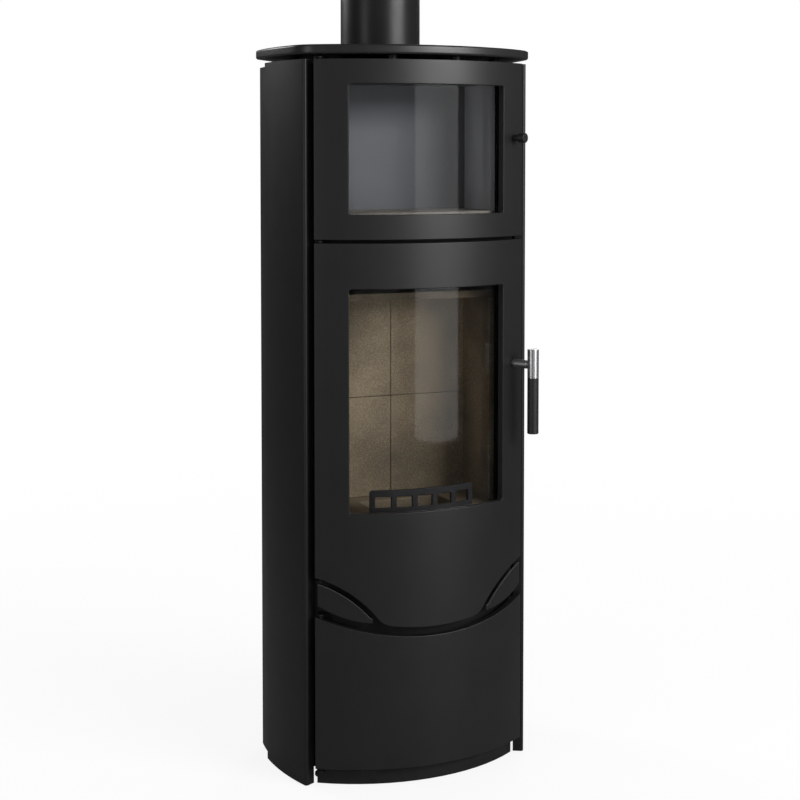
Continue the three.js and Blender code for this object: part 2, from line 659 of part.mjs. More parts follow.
// ---- cover plate, with the cast bosses that hold it clear of the casing
const coverFrontR = FRONT_R + COVER_FRONT_OVERHANG;
const coverFrontY = (x) => ARC_Y - Math.sqrt(coverFrontR ** 2 - x * x);
const coverX = (y) => sideX(y, -COVER_SIDE_OVERHANG);
let coverCornerY = FLANGE_END_Y;
for (let i = 0; i < 40; i += 1) coverCornerY = coverFrontY(coverX(coverCornerY));
const coverRearY = REAR_CORNER_Y - COVER_REAR_CORNER;
const coverBackY = BACK_Y + COVER_BACK_OVERHANG;
const besideCorner = 1.5 * COVER_CORNER_R;
const sideRunY = coverCornerY + besideCorner;
const sideRunEnd = coverRearY - COVER_REAR_R;
const frontRun = [];
const FRONT_RUN_STEPS = 10;
for (let i = 0; i <= FRONT_RUN_STEPS; i += 1) {
  const x = ((coverX(coverCornerY) - besideCorner) * i) / FRONT_RUN_STEPS;
  frontRun.push([x, coverFrontY(x)]);
}
const coverFrontCorner = [coverX(coverCornerY), coverCornerY];
const coverRearCorner = [coverX(coverRearY), coverRearY];
const coverBackCorner = [BACK_HALF + COVER_BACK_OVERHANG, coverBackY];
const coverHalf = [
  ...frontRun,
  ...bend(frontRun[FRONT_RUN_STEPS], coverFrontCorner, [coverX(sideRunY), sideRunY], COVER_CORNER_R, 5),
  ...sideArc(sideRunY, sideRunEnd, -COVER_SIDE_OVERHANG, 7),
  ...bend([coverX(sideRunEnd), sideRunEnd], coverRearCorner, coverBackCorner, COVER_REAR_R, 3),
  ...bend(coverRearCorner, coverBackCorner, [0, coverBackY], COVER_REAR_R, 3),
];
const coverGeometry = new THREE.ExtrudeGeometry(pathShape([...coverHalf, ...mirrored(coverHalf.slice(1))]), {
  depth: COVER_THICK - 2 * COVER_EDGE_R,
  bevelThickness: COVER_EDGE_R,
  bevelSize: COVER_EDGE_R,
  bevelOffset: -COVER_EDGE_R,
  bevelSegments: 2,
});
let cover = cut(
  solidOf(coverGeometry.translate(0, 0, COVER_Z + COVER_EDGE_R)),
  uprightCylinder(0, FLUE_Y, PIPE_R + PIPE_PLAY, COVER_Z - OVERCUT, COVER_TOP + OVERCUT, FLUE_STEPS),
);
const bossSpots = [
  [BODY_HALF - BOSS_IN, DOOR_EDGE_Y + BOSS_BEHIND_DOOR],
  [FRONT_BOSS_X, arcY(FRONT_BOSS_X, DECK_FRONT_DEEP + BOSS_R)],
  [BACK_HALF - REAR_FOOT_IN, BACK_Y - BOSS_FROM_BACK],
];
for (const [x, y] of bossSpots) {
  const boss = uprightCylinder(x, y, BOSS_R, DECK_Z + PLATE + CLEAR, COVER_Z + COVER_THICK / 2, PIN_STEPS);
  cover = join(cover, boss, mirroredSolid(boss));
}
add('top_plate', cover, TOP_PAINT);

// ---- front plate, behind the doors: mouths of the firebox, oven and ash chamber
const plateHalf = FRONT_R * angleAt(DOOR_HALF_X + FRONT_PLATE_PAST_DOOR, FRONT_R - FRONT_PLATE_DEEP);
const plateShape = roundedRect(plateHalf, PANEL_TOP_MID_Z - FRONT_PLATE_BELOW, DECK_Z - CLEAR, 1);
for (const mouth of [FIRE_MOUTH, OVEN_MOUTH, ASH_MOUTH]) {
  plateShape.holes.push(roundedRect(mouth.half, mouth.low, mouth.high, MOUTH_CORNER_R));
}
let frontPlate = rolledSheet(plateShape, FRONT_PLATE_DEEP, FRONT_PLATE_BACK);
for (const x of [-AIR_ROD_X, AIR_ROD_X]) {
  frontPlate = cut(frontPlate, levelCylinder(x, AIR_ROD_Z, AIR_ROD_R + AIR_ROD_PLAY, FRONT_Y, WIDEST_Y));
}
add('front_plate', frontPlate, DARK_STEEL);

// ---- welded inner body, with the flue collar on its top and the pipe over the collar
const shellBackHalf = SHELL_HALF - SHELL_CHAMFER_X;
const shellPlan = (inset) => pathShape([
  [-SHELL_HALF + inset, FRONT_Y],
  [SHELL_HALF - inset, FRONT_Y],
  [SHELL_HALF - inset, CHAMFER_Y - inset / 2],
  [shellBackHalf - inset / 2, SHELL_BACK - inset],
  [-shellBackHalf + inset / 2, SHELL_BACK - inset],
  [-SHELL_HALF + inset, CHAMFER_Y - inset / 2],
]);
const COLLAR_R = PIPE_R - PIPE_WALL - COLLAR_PLAY;
const flueBore = (z0, z1, steps = FLUE_STEPS) => {
  return uprightCylinder(0, FLUE_Y, COLLAR_R - COLLAR_WALL, z0, z1, steps);
};
const shellFront = uprightCylinder(
  0, ARC_Y, FRONT_R - BEHIND_PLATE, SHELL_BOTTOM - OVERCUT, SHELL_TOP + OVERCUT, SHELL_FRONT_STEPS,
);
const innerBody = cut(
  prism(shellPlan(0), SHELL_BOTTOM, SHELL_TOP).intersect(shellFront),
  prism(shellPlan(PLATE), SHELL_BOTTOM + PLATE, SHELL_TOP - PLATE),
  flueBore(SHELL_TOP - PLATE - OVERCUT, SHELL_TOP + OVERCUT, SHELL_FLUE_STEPS),
);
add('firebox_shell', innerBody, INNER_STEEL);

const collarLow = SHELL_TOP + CLEAR;
const collarTop = COVER_TOP + COLLAR_ABOVE_COVER;
const collar = cut(
  join(
    uprightCylinder(0, FLUE_Y, PIPE_R + COLLAR_FLANGE, collarLow, collarLow + PLATE, FLUE_STEPS),
    uprightCylinder(0, FLUE_Y, COLLAR_R, collarLow + PLATE / 2, collarTop, FLUE_STEPS),
  ),
  flueBore(collarLow - OVERCUT, collarTop + OVERCUT),
);
add('flue_collar', collar, INNER_STEEL);
const pipeLow = collarLow + PLATE + CLEAR;
const pipeTop = COVER_TOP + PIPE_ABOVE_COVER;
const pipe = cut(
  uprightCylinder(0, FLUE_Y, PIPE_R, pipeLow, pipeTop, FLUE_STEPS),
  uprightCylinder(0, FLUE_Y, PIPE_R - PIPE_WALL, pipeLow - OVERCUT, pipeTop + OVERCUT, FLUE_STEPS),
);
add('flue_pipe', pipe, PIPE_STEEL);

// ---- ash pan, in its chamber under the grate
const mouthX = (half) => (FRONT_R - FRONT_PLATE_BACK) * Math.sin(half / FRONT_R);
const panHalf = mouthX(ASH_MOUTH.half) - PAN_FROM_MOUTH;
const panFront = arcY(panHalf, FRONT_PLATE_BACK) + PAN_BEHIND_PLATE;
const panBack = FIRE_BACK_Y + PAN_UNDER_LINING;
const panLow = SHELL_BOTTOM + PLATE + CLEAR;
const panHigh = HEARTH_Z - PAN_UNDER_HEARTH;
const pullY = panFront - PULL_REACH;
const pan = join(
  cut(
    block(-panHalf, panHalf, panFront, panBack, panLow, panHigh),
    block(
      -panHalf + PAN_SHEET, panHalf - PAN_SHEET, panFront + PAN_SHEET, panBack - PAN_SHEET,
      panLow + PAN_SHEET, panHigh + OVERCUT,
    ),
  ),
  block(-PULL_HALF, PULL_HALF, pullY, panFront + PAN_SHEET / 2, panHigh - PAN_SHEET, panHigh),
  block(-PULL_HALF, PULL_HALF, pullY, pullY + PAN_SHEET, panHigh - PULL_DROP, panHigh),
);
add('ash_pan', pan, OVEN_STEEL);

// ---- hearth plate, firebrick lining, grate, gas duct and baffle
const wallX = SHELL_HALF - PLATE - CLEAR;
const grateHalf = panHalf - GRATE_IN_PAN;
const grateFront = panFront + GRATE_FRONT_IN;
const grateBack = FIRE_BACK_Y - GRATE_FROM_LINING;
const onHearth = HEARTH_Z + PLATE + CLEAR;
const floorTop = onHearth + BRICK;
const inFirebox = behindFront(BEHIND_PLATE + LINING_PLAY, HEARTH_Z - OVERCUT, LINING_TOP + OVERCUT);
const hearthPlate = cut(
  block(-wallX, wallX, FRONT_Y, DIVIDER_Y + PLATE, HEARTH_Z, HEARTH_Z + PLATE).intersect(inFirebox),
  block(
    -grateHalf + GRATE_LIP, grateHalf - GRATE_LIP, grateFront + GRATE_LIP, grateBack - GRATE_LIP,
    HEARTH_Z - OVERCUT, HEARTH_Z + PLATE + OVERCUT,
  ),
);
add('hearth_plate', hearthPlate, INNER_STEEL);
const floorBricks = cut(
  block(-wallX, wallX, FRONT_Y, FIRE_BACK_Y + BRICK, onHearth, floorTop).intersect(inFirebox),
  block(
    -grateHalf - CLEAR, grateHalf + CLEAR, grateFront - CLEAR, grateBack + CLEAR,
    onHearth - OVERCUT, floorTop + OVERCUT,
  ),
);
add('floor_bricks', floorBricks, FIREBRICK);

let grate = block(-grateHalf, grateHalf, grateFront, grateBack, onHearth, onHearth + GRATE_THICK);
const barPitch = (2 * (grateHalf - GRATE_MARGIN) + GRATE_SLOT / 2) / GRATE_BARS;
for (let i = 0; i < GRATE_BARS; i += 1) {
  const x = barPitch * (i - (GRATE_BARS - 1) / 2);
  const slot = block(
    x - GRATE_SLOT / 2, x + GRATE_SLOT / 2, grateFront + GRATE_MARGIN, grateBack - GRATE_MARGIN,
    onHearth - OVERCUT, onHearth + GRATE_THICK + OVERCUT,
  );
  grate = cut(grate, slot);
}
add('grate', grate, CAST_IRON);

const liningLow = floorTop + CLEAR;
const sideBrickFront = arcY(wallX, BEHIND_PLATE + LINING_PLAY) + SIDE_BRICK_BACK;
const sideBrick = block(wallX - BRICK, wallX, sideBrickFront, FIRE_BACK_Y - CLEAR, liningLow, LINING_TOP);
add('right_fire_brick', sideBrick, FIREBRICK);
add('left_fire_brick', mirroredSolid(sideBrick), FIREBRICK);
const rearBrick = block(-wallX, wallX, FIRE_BACK_Y, FIRE_BACK_Y + BRICK, liningLow, LINING_TOP);
add('rear_fire_brick', rearBrick, FIREBRICK);
const divider = block(-wallX, wallX, DIVIDER_Y, DIVIDER_Y + PLATE, onHearth, LINING_TOP + DIVIDER_RISE);
add('flue_divider', divider, INNER_STEEL);
const baffleLow = LINING_TOP + CLEAR;
const baffle = block(
  -wallX, wallX, FIRE_BACK_Y - BAFFLE_REACH, DIVIDER_Y - CLEAR, baffleLow, baffleLow + BAFFLE_THICK,
);
add('baffle', baffle, FIREBRICK);

// A cast log guard: a bowed bar on posts, in front of the grate.
const guardShape = roundedRect(GUARD_HALF, liningLow, liningLow + GUARD_HEIGHT, GUARD_THICK);
let logGuard = rolledSheet(guardShape, GUARD_DEEP, GUARD_DEEP + GUARD_THICK);
const guardPitch = (2 * GUARD_HALF - GUARD_POST) / GUARD_GAPS;
for (let i = 0; i < GUARD_GAPS; i += 1) {
  const from = -GUARD_HALF + GUARD_POST + guardPitch * i;
  const to = from + guardPitch - GUARD_POST;
  const low = liningLow + GUARD_FOOT;
  const high = liningLow + GUARD_HEIGHT - GUARD_POST;
  logGuard = cut(logGuard, radialWedge(pathShape([[from, low], [to, low], [to, high], [from, high]])));
}
add('log_guard', logGuard, CAST_IRON);

// ---- oven box, with its baking stone
const ovenHalf = mouthX(MOUTH_HALF) + PLATE / 2 + OVEN_PAST_MOUTH;
const ovenBack = FIRE_BACK_Y - OVEN_FROM_LINING;
const ovenLow = OVEN_MOUTH.low - OVEN_SHEET;
const ovenHigh = OVEN_MOUTH.high + OVEN_SHEET;
const ovenBox = cut(
  block(-ovenHalf - OVEN_SHEET, ovenHalf + OVEN_SHEET, FRONT_Y, ovenBack + OVEN_SHEET, ovenLow, ovenHigh)
    .intersect(behindFront(BEHIND_PLATE, ovenLow - OVERCUT, ovenHigh + OVERCUT)),
  block(-ovenHalf, ovenHalf, FRONT_Y - OVERCUT, ovenBack, OVEN_MOUTH.low, OVEN_MOUTH.high),
);
add('oven_box', ovenBox, OVEN_STEEL);
const stoneLow = OVEN_MOUTH.low + CLEAR;
const stoneHalf = ovenHalf - STONE_PLAY;
const stoneTop = stoneLow + STONE_THICK;
const bakingStone = block(-stoneHalf, stoneHalf, FRONT_Y, ovenBack - STONE_PLAY, stoneLow, stoneTop)
  .intersect(behindFront(BEHIND_PLATE + STONE_PLAY, stoneLow - OVERCUT, stoneTop + OVERCUT));
add('baking_stone', bakingStone, STONE);

// ---- storage compartment's ceiling, under the firebox
const ceilingLow = SWEEP_MID_Z + CEILING_UP;
const ceiling = block(-SHELL_HALF, SHELL_HALF, FRONT_Y, cheekBack, ceilingLow, ceilingLow + CEILING_SHEET)
  .intersect(behindFront(BEHIND_PLATE, ceilingLow - OVERCUT, ceilingLow + CEILING_SHEET + OVERCUT));
add('storage_ceiling', ceiling, DARK_STEEL);

// ---- hinge brackets with their riveted pins, on the left of the front
function bracket(name, z, up, down) {
  let solid = hingeLug(z, z + BRACKET_THICK, FRONT_PLATE_DEEP - CLEAR);
  if (up) solid = join(solid, hingePin(z, z + BRACKET_THICK + HINGE_PIN_REACH));
  if (down) solid = join(solid, hingePin(z - HINGE_PIN_REACH, z + BRACKET_THICK));
  return add(name, solid, DARK_STEEL);
}
const fireHingeZ = sweepArc(HINGE_S);
bracket('middle_hinge_bracket', FIRE_DOOR_TOP + (DOOR_GAP - BRACKET_THICK) / 2, true, true);
bracket('fire_door_hinge_bracket', sweepArc(HINGE_S - LUG_HALF) - BRACKET_GAP - BRACKET_THICK, true, false);
bracket('storage_hinge_bracket', panelTop(DOOR_HALF) + BRACKET_GAP, false, true);

// The oven door's upper bracket steps down behind the door, onto the top frame.
const upperLugZ = BODY_TOP + BRACKET_GAP;
const stepDeep = DECK_FRONT_DEEP + BRACKET_THICK;
const deckLug = DECK_FRONT_DEEP + LUG_ON_DECK;
const upperLug = join(
  hingeLug(upperLugZ, upperLugZ + BRACKET_THICK, deckLug),
  hingeLug(DECK_Z + PLATE + CLEAR, upperLugZ + BRACKET_THICK / 2, deckLug)
    .intersect(behindFront(stepDeep, DECK_Z, upperLugZ + OVERCUT)),
  hingePin(BODY_TOP - HINGE_PIN_REACH, upperLugZ + BRACKET_THICK),
);
add('oven_door_hinge_bracket', upperLug, DARK_STEEL);

// ---- door outlines, drawn flat; grow pulls every edge in
function fireDoorShape(grow) {
  const half = DOOR_HALF - grow;
  const right = [];
  const midSteps = 4;
  for (let i = 0; i <= midSteps; i += 1) {
    const s = (SWEEP_MID_END * i) / midSteps;
    right.push([s, sweepMid(s) + grow]);
  }
  const lipZ = sweepMid(SWEEP_MID_END) + grow;
  const arcStart = new THREE.Vector2(SWEEP_JOIN - grow * 0.8, sweepArc(SWEEP_JOIN) + grow * 0.6);
  const knee = new THREE.Vector2(SWEEP_JOIN - grow * 0.5 - SWEEP_TURN * 0.4, lipZ + SWEEP_TURN * 0.05);
  const turn = new THREE.QuadraticBezierCurve(new THREE.Vector2(SWEEP_MID_END, lipZ), knee, arcStart);
  turn.getPoints(4).slice(1, 4).forEach((p) => right.push([p.x, p.y]));
  const arcSteps = 9;
  for (let i = 0; i <= arcSteps; i += 1) {
    const s = arcStart.x + ((half - arcStart.x) * i) / arcSteps;
    right.push([s, sweepArc(s, -grow)]);
  }
  right.push([half, FIRE_DOOR_TOP - grow]);
  return pathShape([...right, ...mirrored(right.slice(1))]);
}

function storageDoorShape(grow) {
  const half = DOOR_HALF - grow;
  const points = [[-half, PANEL_BOTTOM + grow], [half, PANEL_BOTTOM + grow]];
  const steps = 14;
  for (let i = 0; i <= steps; i += 1) {
    const s = half - (2 * half * i) / steps;
    points.push([s, panelTop(s) - grow]);
  }
  return pathShape(points);
}

function ovenDoorShape(grow) {
  const half = DOOR_HALF - grow;
  const low = OVEN_DOOR_BOTTOM + grow;
  const high = BODY_TOP - grow;
  return pathShape([[-half, low], [half, low], [half, high], [-half, high]]);
}

// A folded sheet door: skin in front, rims round its edge and round its window.
function foldedDoor(outline, window) {
  const face = outline(0);
  const pocket = outline(RIM);
  if (window) {
    face.holes.push(roundedRect(WINDOW_HALF, window.low, window.high, WINDOW_CORNER_R));
    const { low, high } = window;
    pocket.holes.push(roundedRect(WINDOW_HALF + RIM, low - RIM, high + RIM, WINDOW_CORNER_R + RIM));
  }
  return cut(rolledSheet(face, 0, DOOR_DEEP), rolledSheet(pocket, DOOR_SKIN, DOOR_DEEP + OVERCUT));
}

// A cylinder square to the rolled face, on the upright that carries handle and knob.
function radialCylinder(r, deep0, deep1, z, steps = PIN_STEPS) {
  const geometry = new THREE.CylinderGeometry(r, r, deep1 - deep0, steps);
  geometry.translate(0, -FRONT_R + (deep0 + deep1) / 2, z);
  geometry.rotateZ(GRIP_ANGLE);
  return solidOf(geometry.translate(0, ARC_Y, 0));
}

// Turned pieces on the same axis: a profile of [radius, depth] pairs, from the inside outwards.
function radialTurned(profile, z) {
  const points = profile.map(([r, deep]) => new THREE.Vector2(r, FRONT_R - deep));
  const geometry = new THREE.LatheGeometry(points, ROUND_STEPS);
  geometry.rotateX(Math.PI).translate(0, 0, z).rotateZ(GRIP_ANGLE);
  return solidOf(geometry.translate(0, ARC_Y, 0));
}

// Inner parts of a glazed door, from front to back: liner, pane, two glass rails, rope seal.
const LINER_DEEP = DOOR_DEEP + CLEAR;
const LINER_BACK = LINER_DEEP + LINER_SHEET;
const PANE_HALF = WINDOW_HALF + PANE_LAP;
const PANE_BACK = LINER_DEEP + PANE;

function glazedDoorInside(prefix, outline, window, ring, spindleZ, group) {
  const paneLow = window.low - PANE_LAP;
  const paneHigh = window.high + PANE_LAP;
  const linerShape = outline(LINER_INSET);
  linerShape.holes.push(roundedRect(PANE_HALF + CLEAR, paneLow - CLEAR, paneHigh + CLEAR, 1));
  let liner = rolledSheet(linerShape, LINER_DEEP, LINER_BACK);
  if (spindleZ) {
    const boreR = SPINDLE_R + SPINDLE_PLAY;
    const bore = radialCylinder(boreR, LINER_DEEP - OVERCUT, LINER_BACK + OVERCUT, spindleZ);
    liner = cut(liner, bore);
  }
  add(`${prefix}_door_liner`, liner, DARK_STEEL, group);
  const paneShape = roundedRect(PANE_HALF, paneLow, paneHigh, 1);
  add(`${prefix}_door_glass`, rolledSheet(paneShape, LINER_DEEP, PANE_BACK), GLASS, group);

  const railDeep = PANE_BACK + CLEAR;
  const railOut = SEAL_IN - CLEAR;
  const railLow = window.low - RAIL_PAST;
  const railHigh = window.high + RAIL_PAST;
  const rightRail = join(
    rolledRect(PANE_HALF - RAIL_LAP, railOut, railLow, railHigh, railDeep, railDeep + RAIL_SHEET),
    rolledRect(
      railOut - RAIL_SHEET, railOut, railLow, railHigh, LINER_BACK + CLEAR, railDeep + RAIL_SHEET / 2,
    ),
  );
  add(`${prefix}_glass_rail_right`, rightRail, DARK_STEEL, group);
  add(`${prefix}_glass_rail_left`, mirroredSolid(rightRail), DARK_STEEL, group);

  const sealShape = roundedRect(SEAL_OUT, ring.low, ring.high, SEAL_CORNER_R);
  const innerRing = roundedRect(SEAL_IN, ring.low + SEAL_WIDE, ring.high - SEAL_WIDE, SEAL_CORNER_R / 2);
  sealShape.holes.push(innerRing);
  const seal = rolledSheet(sealShape, LINER_BACK + CLEAR, FRONT_PLATE_DEEP - CLEAR);
  add(`${prefix}_door_seal`, seal, ROPE, group);
}

const hingeBore = (z0, z1) => uprightCylinder(HINGE_X, HINGE_Y, HINGE_PIN_R + HINGE_PLAY, z0, z1, PIN_STEPS);
const gripBore = (r, z) => radialCylinder(r, -OVERCUT, DOOR_SKIN + OVERCUT, z);

// ---- oven door, with its knob
const ovenDoor = new THREE.Group();
stove.add(ovenDoor);
add('oven_door_frame', cut(
  foldedDoor(ovenDoorShape, OVEN_WINDOW),
  hingeBore(OVEN_DOOR_BOTTOM - OVERCUT, OVEN_DOOR_BOTTOM + RIM + CLEAR),
  hingeBore(BODY_TOP - RIM - CLEAR, BODY_TOP + OVERCUT),
  gripBore(KNOB_SCREW_R + CLEAR, KNOB_Z),
), STOVE_PAINT, ovenDoor);
const ovenRing = { low: OVEN_MOUTH.low - SEAL_BELOW, high: OVEN_MOUTH.high + SEAL_ABOVE };
glazedDoorInside('oven', ovenDoorShape, OVEN_WINDOW, ovenRing, 0, ovenDoor);

const knobBack = -(KNOB_FACE - KNOB_LENGTH);
const screwTip = -(KNOB_FACE - KNOB_CAP);
const screwHeadR = KNOB_SCREW_R + SCREW_HEAD;
const screwHeadDeep = DOOR_SKIN + CLEAR;
add('oven_knob_screw', radialTurned([
  [0, screwHeadDeep + SCREW_HEAD], [screwHeadR, screwHeadDeep + SCREW_HEAD], [screwHeadR, screwHeadDeep],
  [KNOB_SCREW_R, screwHeadDeep], [KNOB_SCREW_R, screwTip], [0, screwTip],
], KNOB_Z), BRIGHT_STEEL, ovenDoor);
const knobBoreR = KNOB_SCREW_R + CLEAR;
add('oven_knob', radialTurned([
  [knobBoreR, -CLEAR], [KNOB_NECK_R, -CLEAR], [KNOB_NECK_R, knobBack], [KNOB_R - KNOB_EDGE, knobBack],
  [KNOB_R, knobBack - KNOB_EDGE], [KNOB_R, -KNOB_FACE + KNOB_EDGE], [KNOB_R - KNOB_EDGE, -KNOB_FACE],
  [0, -KNOB_FACE], [0, screwTip - CLEAR], [knobBoreR, screwTip - CLEAR], [knobBoreR, -CLEAR],
], KNOB_Z), GRIP_BLACK, ovenDoor);

// ---- fire door, with its turning handle
const fireDoor = new THREE.Group();
stove.add(fireDoor);
add('fire_door_frame', cut(
  foldedDoor(fireDoorShape, FIRE_WINDOW),
  hingeBore(FIRE_DOOR_TOP - RIM - CLEAR, FIRE_DOOR_TOP + OVERCUT),
  hingeBore(fireHingeZ - 2 * OVERCUT, fireHingeZ + 2 * RIM),
  gripBore(SPINDLE_R + SPINDLE_PLAY, HANDLE_Z),
), STOVE_PAINT, fireDoor);
const fireRing = { low: ASH_MOUTH.low - ASH_SEAL_BELOW, high: FIRE_MOUTH.high + SEAL_ABOVE };
glazedDoorInside('fire', fireDoorShape, FIRE_WINDOW, fireRing, HANDLE_Z, fireDoor);

// Spindle and stem in one, a steel sleeve across its end, a black grip below the sleeve, and the
// latch cam on the spindle's inner end.
const camBack = CAM_DEEP + CAM_THICK;
const stemEnd = -(HANDLE_STAND_OFF - HANDLE_BAR_R) + STEM_SEAT / 2;
add('handle_stem', radialTurned([
  [0, camBack], [SPINDLE_TIP_R, camBack], [SPINDLE_TIP_R, CAM_DEEP - CLEAR], [SPINDLE_R, CAM_DEEP - CLEAR],
  [SPINDLE_R, -CLEAR], [STEM_R, -CLEAR], [STEM_R, stemEnd], [SPINDLE_R, stemEnd],
  [SPINDLE_R, -HANDLE_STAND_OFF], [0, -HANDLE_STAND_OFF],
], HANDLE_Z), BRIGHT_STEEL, fireDoor);

const barR = FRONT_R + HANDLE_STAND_OFF;
function turnedBar(z0, z1, edge) {
  const r = HANDLE_BAR_R;
  const points = [
    [0, z0], [r - edge, z0], [r - edge * 0.3, z0 + edge * 0.3], [r, z0 + edge],
    [r, z1 - edge], [r - edge * 0.3, z1 - edge * 0.3], [r - edge, z1], [0, z1],
  ].map(([x, z]) => new THREE.Vector2(x, z));
  const bar = new THREE.LatheGeometry(points, ROUND_STEPS).rotateX(Math.PI / 2);
  return solidOf(bar.translate(barR * Math.sin(GRIP_ANGLE), ARC_Y - barR * Math.cos(GRIP_ANGLE), 0));
}
const splitZ = HANDLE_Z - SLEEVE_BELOW;
add('handle_sleeve', cut(
  turnedBar(splitZ + CLEAR, HANDLE_Z + SLEEVE_ABOVE, 0.8),
  radialCylinder(SPINDLE_R + CLEAR, -HANDLE_STAND_OFF - CLEAR, 0, HANDLE_Z, ROUND_STEPS),
  radialCylinder(STEM_R + CLEAR, stemEnd - CLEAR, 0, HANDLE_Z, ROUND_STEPS),
), BRIGHT_STEEL, fireDoor);
add('handle_grip', turnedBar(splitZ - GRIP_LENGTH, splitZ, 1.2), GRIP_BLACK, fireDoor);

const camGeometry = new THREE.BoxGeometry(CAM_REACH, CAM_THICK, 2 * CAM_HALF);
camGeometry.translate(CAM_REACH / 2, -FRONT_R + CAM_DEEP + CAM_THICK / 2, HANDLE_Z);
camGeometry.rotateZ(GRIP_ANGLE).translate(0, ARC_Y, 0);
add('latch_cam', cut(
  join(solidOf(camGeometry), radialCylinder(CAM_HUB_R, CAM_DEEP, camBack, HANDLE_Z, ROUND_STEPS)),
  radialCylinder(SPINDLE_TIP_R + CLEAR, CAM_DEEP - OVERCUT, camBack + OVERCUT, HANDLE_Z, ROUND_STEPS),
), BRIGHT_STEEL, fireDoor);

// The keeper is a bent strip on the front plate, beside the cam.
const keeperS = GRIP_S + CAM_REACH + KEEPER_GAP;
add('latch_keeper', rolledRect(
  keeperS, keeperS + KEEPER_WIDE, HANDLE_Z - KEEPER_HALF, HANDLE_Z + KEEPER_HALF,
  CAM_DEEP - KEEPER_PAST_CAM, FRONT_PLATE_DEEP - CLEAR,
), DARK_STEEL);

// ---- storage door, and the magnetic catches of both small doors
add('storage_door', cut(
  foldedDoor(storageDoorShape, null),
  hingeBore(PANEL_BOTTOM - OVERCUT, PANEL_BOTTOM + RIM + CLEAR),
  hingeBore(panelTop(HINGE_S) - RIM - OVERCUT / 2, panelTop(HINGE_S) + OVERCUT),
), STOVE_PAINT);
const catchS = DOOR_HALF - CATCH_IN;
const storageCatchZ = panelTop(catchS + CATCH_WIDE / 2) - CATCH_BELOW;
for (const [name, z] of [['storage_catch', storageCatchZ], ['oven_catch', KNOB_Z]]) {
  const magnet = rolledRect(
    catchS, catchS + CATCH_WIDE, z - CATCH_HALF, z + CATCH_HALF, DOOR_DEEP + CLEAR, FRONT_PLATE_DEEP - CLEAR,
  );
  add(name, magnet, DARK_STEEL);
}

// ---- air controls: a leaf on each side, pulled straight out on a rod
function leafShape() {
  const outer = DOOR_HALF - LEAF_OUTER_IN;
  const tip = DOOR_HALF - LEAF_TIP_IN;
  const tipZ = SWEEP_MID_Z + LEAF_TIP_UP;
  const outerZ = SWEEP_MID_Z + LEAF_OUTER_UP;
  const bow = new THREE.Vector2(DOOR_HALF - LEAF_BOW_IN, SWEEP_MID_Z + LEAF_BOW_UP);
  const start = new THREE.Vector2(outer, outerZ);
  const low = new THREE.QuadraticBezierCurve(start, bow, new THREE.Vector2(tip, tipZ));
  const steps = 10;
  const points = low.getPoints(steps).map((p) => [p.x, p.y]);
  for (let i = 0; i <= steps; i += 1) {
    const s = tip + ((outer - tip) * i) / steps;
    points.push([s, Math.max(sweepArc(s, LEAF_GAP), tipZ + LEAF_TIP_RISE)]);
  }
  return pathShape(points);
}
const rodFront = arcY(AIR_ROD_X, LEAF_THICK);
const rodBack = arcY(AIR_ROD_X, FRONT_PLATE_BACK) + AIR_ROD_REACH;
const headR = AIR_ROD_R + AIR_ROD_HEAD;
const rod = cut(
  join(
    levelCylinder(AIR_ROD_X, AIR_ROD_Z, AIR_ROD_R, rodFront, rodBack),
    levelCylinder(AIR_ROD_X, AIR_ROD_Z, headR, rodBack - AIR_HEAD_THICK, rodBack),
  ),
  rolledRing(-OVERCUT, LEAF_THICK + CLEAR, AIR_ROD_Z - 2 * headR, AIR_ROD_Z + 2 * headR),
);
const leaf = rolledSheet(leafShape(), 0, LEAF_THICK);
add('right_air_leaf', leaf, STOVE_PAINT);
add('right_air_rod', rod, BRIGHT_STEEL);
add('left_air_leaf', mirroredSolid(leaf), STOVE_PAINT);
add('left_air_rod', mirroredSolid(rod), BRIGHT_STEEL);

export default stove;
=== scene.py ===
"""A tall wood stove with a bowed steel front: a baking oven on top, a glazed firebox, storage below."""

import math

import bmesh
import bpy
from mathutils import Matrix, Vector, geometry


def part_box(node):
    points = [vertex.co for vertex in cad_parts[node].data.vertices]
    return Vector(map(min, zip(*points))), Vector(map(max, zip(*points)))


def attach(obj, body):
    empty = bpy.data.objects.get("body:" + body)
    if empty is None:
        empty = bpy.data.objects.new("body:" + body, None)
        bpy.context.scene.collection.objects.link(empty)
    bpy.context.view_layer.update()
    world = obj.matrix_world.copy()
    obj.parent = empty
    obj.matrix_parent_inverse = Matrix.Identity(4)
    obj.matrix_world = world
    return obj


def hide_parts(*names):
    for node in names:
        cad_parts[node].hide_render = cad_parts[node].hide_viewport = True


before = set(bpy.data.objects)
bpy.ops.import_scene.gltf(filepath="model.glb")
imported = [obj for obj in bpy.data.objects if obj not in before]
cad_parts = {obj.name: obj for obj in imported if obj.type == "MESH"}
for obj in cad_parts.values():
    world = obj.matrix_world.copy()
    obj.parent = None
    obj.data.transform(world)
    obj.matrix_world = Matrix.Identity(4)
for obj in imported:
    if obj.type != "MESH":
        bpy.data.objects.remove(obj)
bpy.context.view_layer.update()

# ------------------------------------------------------------------------------------------------
# The camera stands about three metres off, at the stove's left front, near chest height. It looks
# slightly down, and its picture is shifted so that the flue pipe leaves at the top edge.
CAMERA_PLACE = (-1.1918, -2.7955, 1.1294)
CAMERA_TURN = math.radians(23.2126)
CAMERA_TILT = math.radians(2.8681)

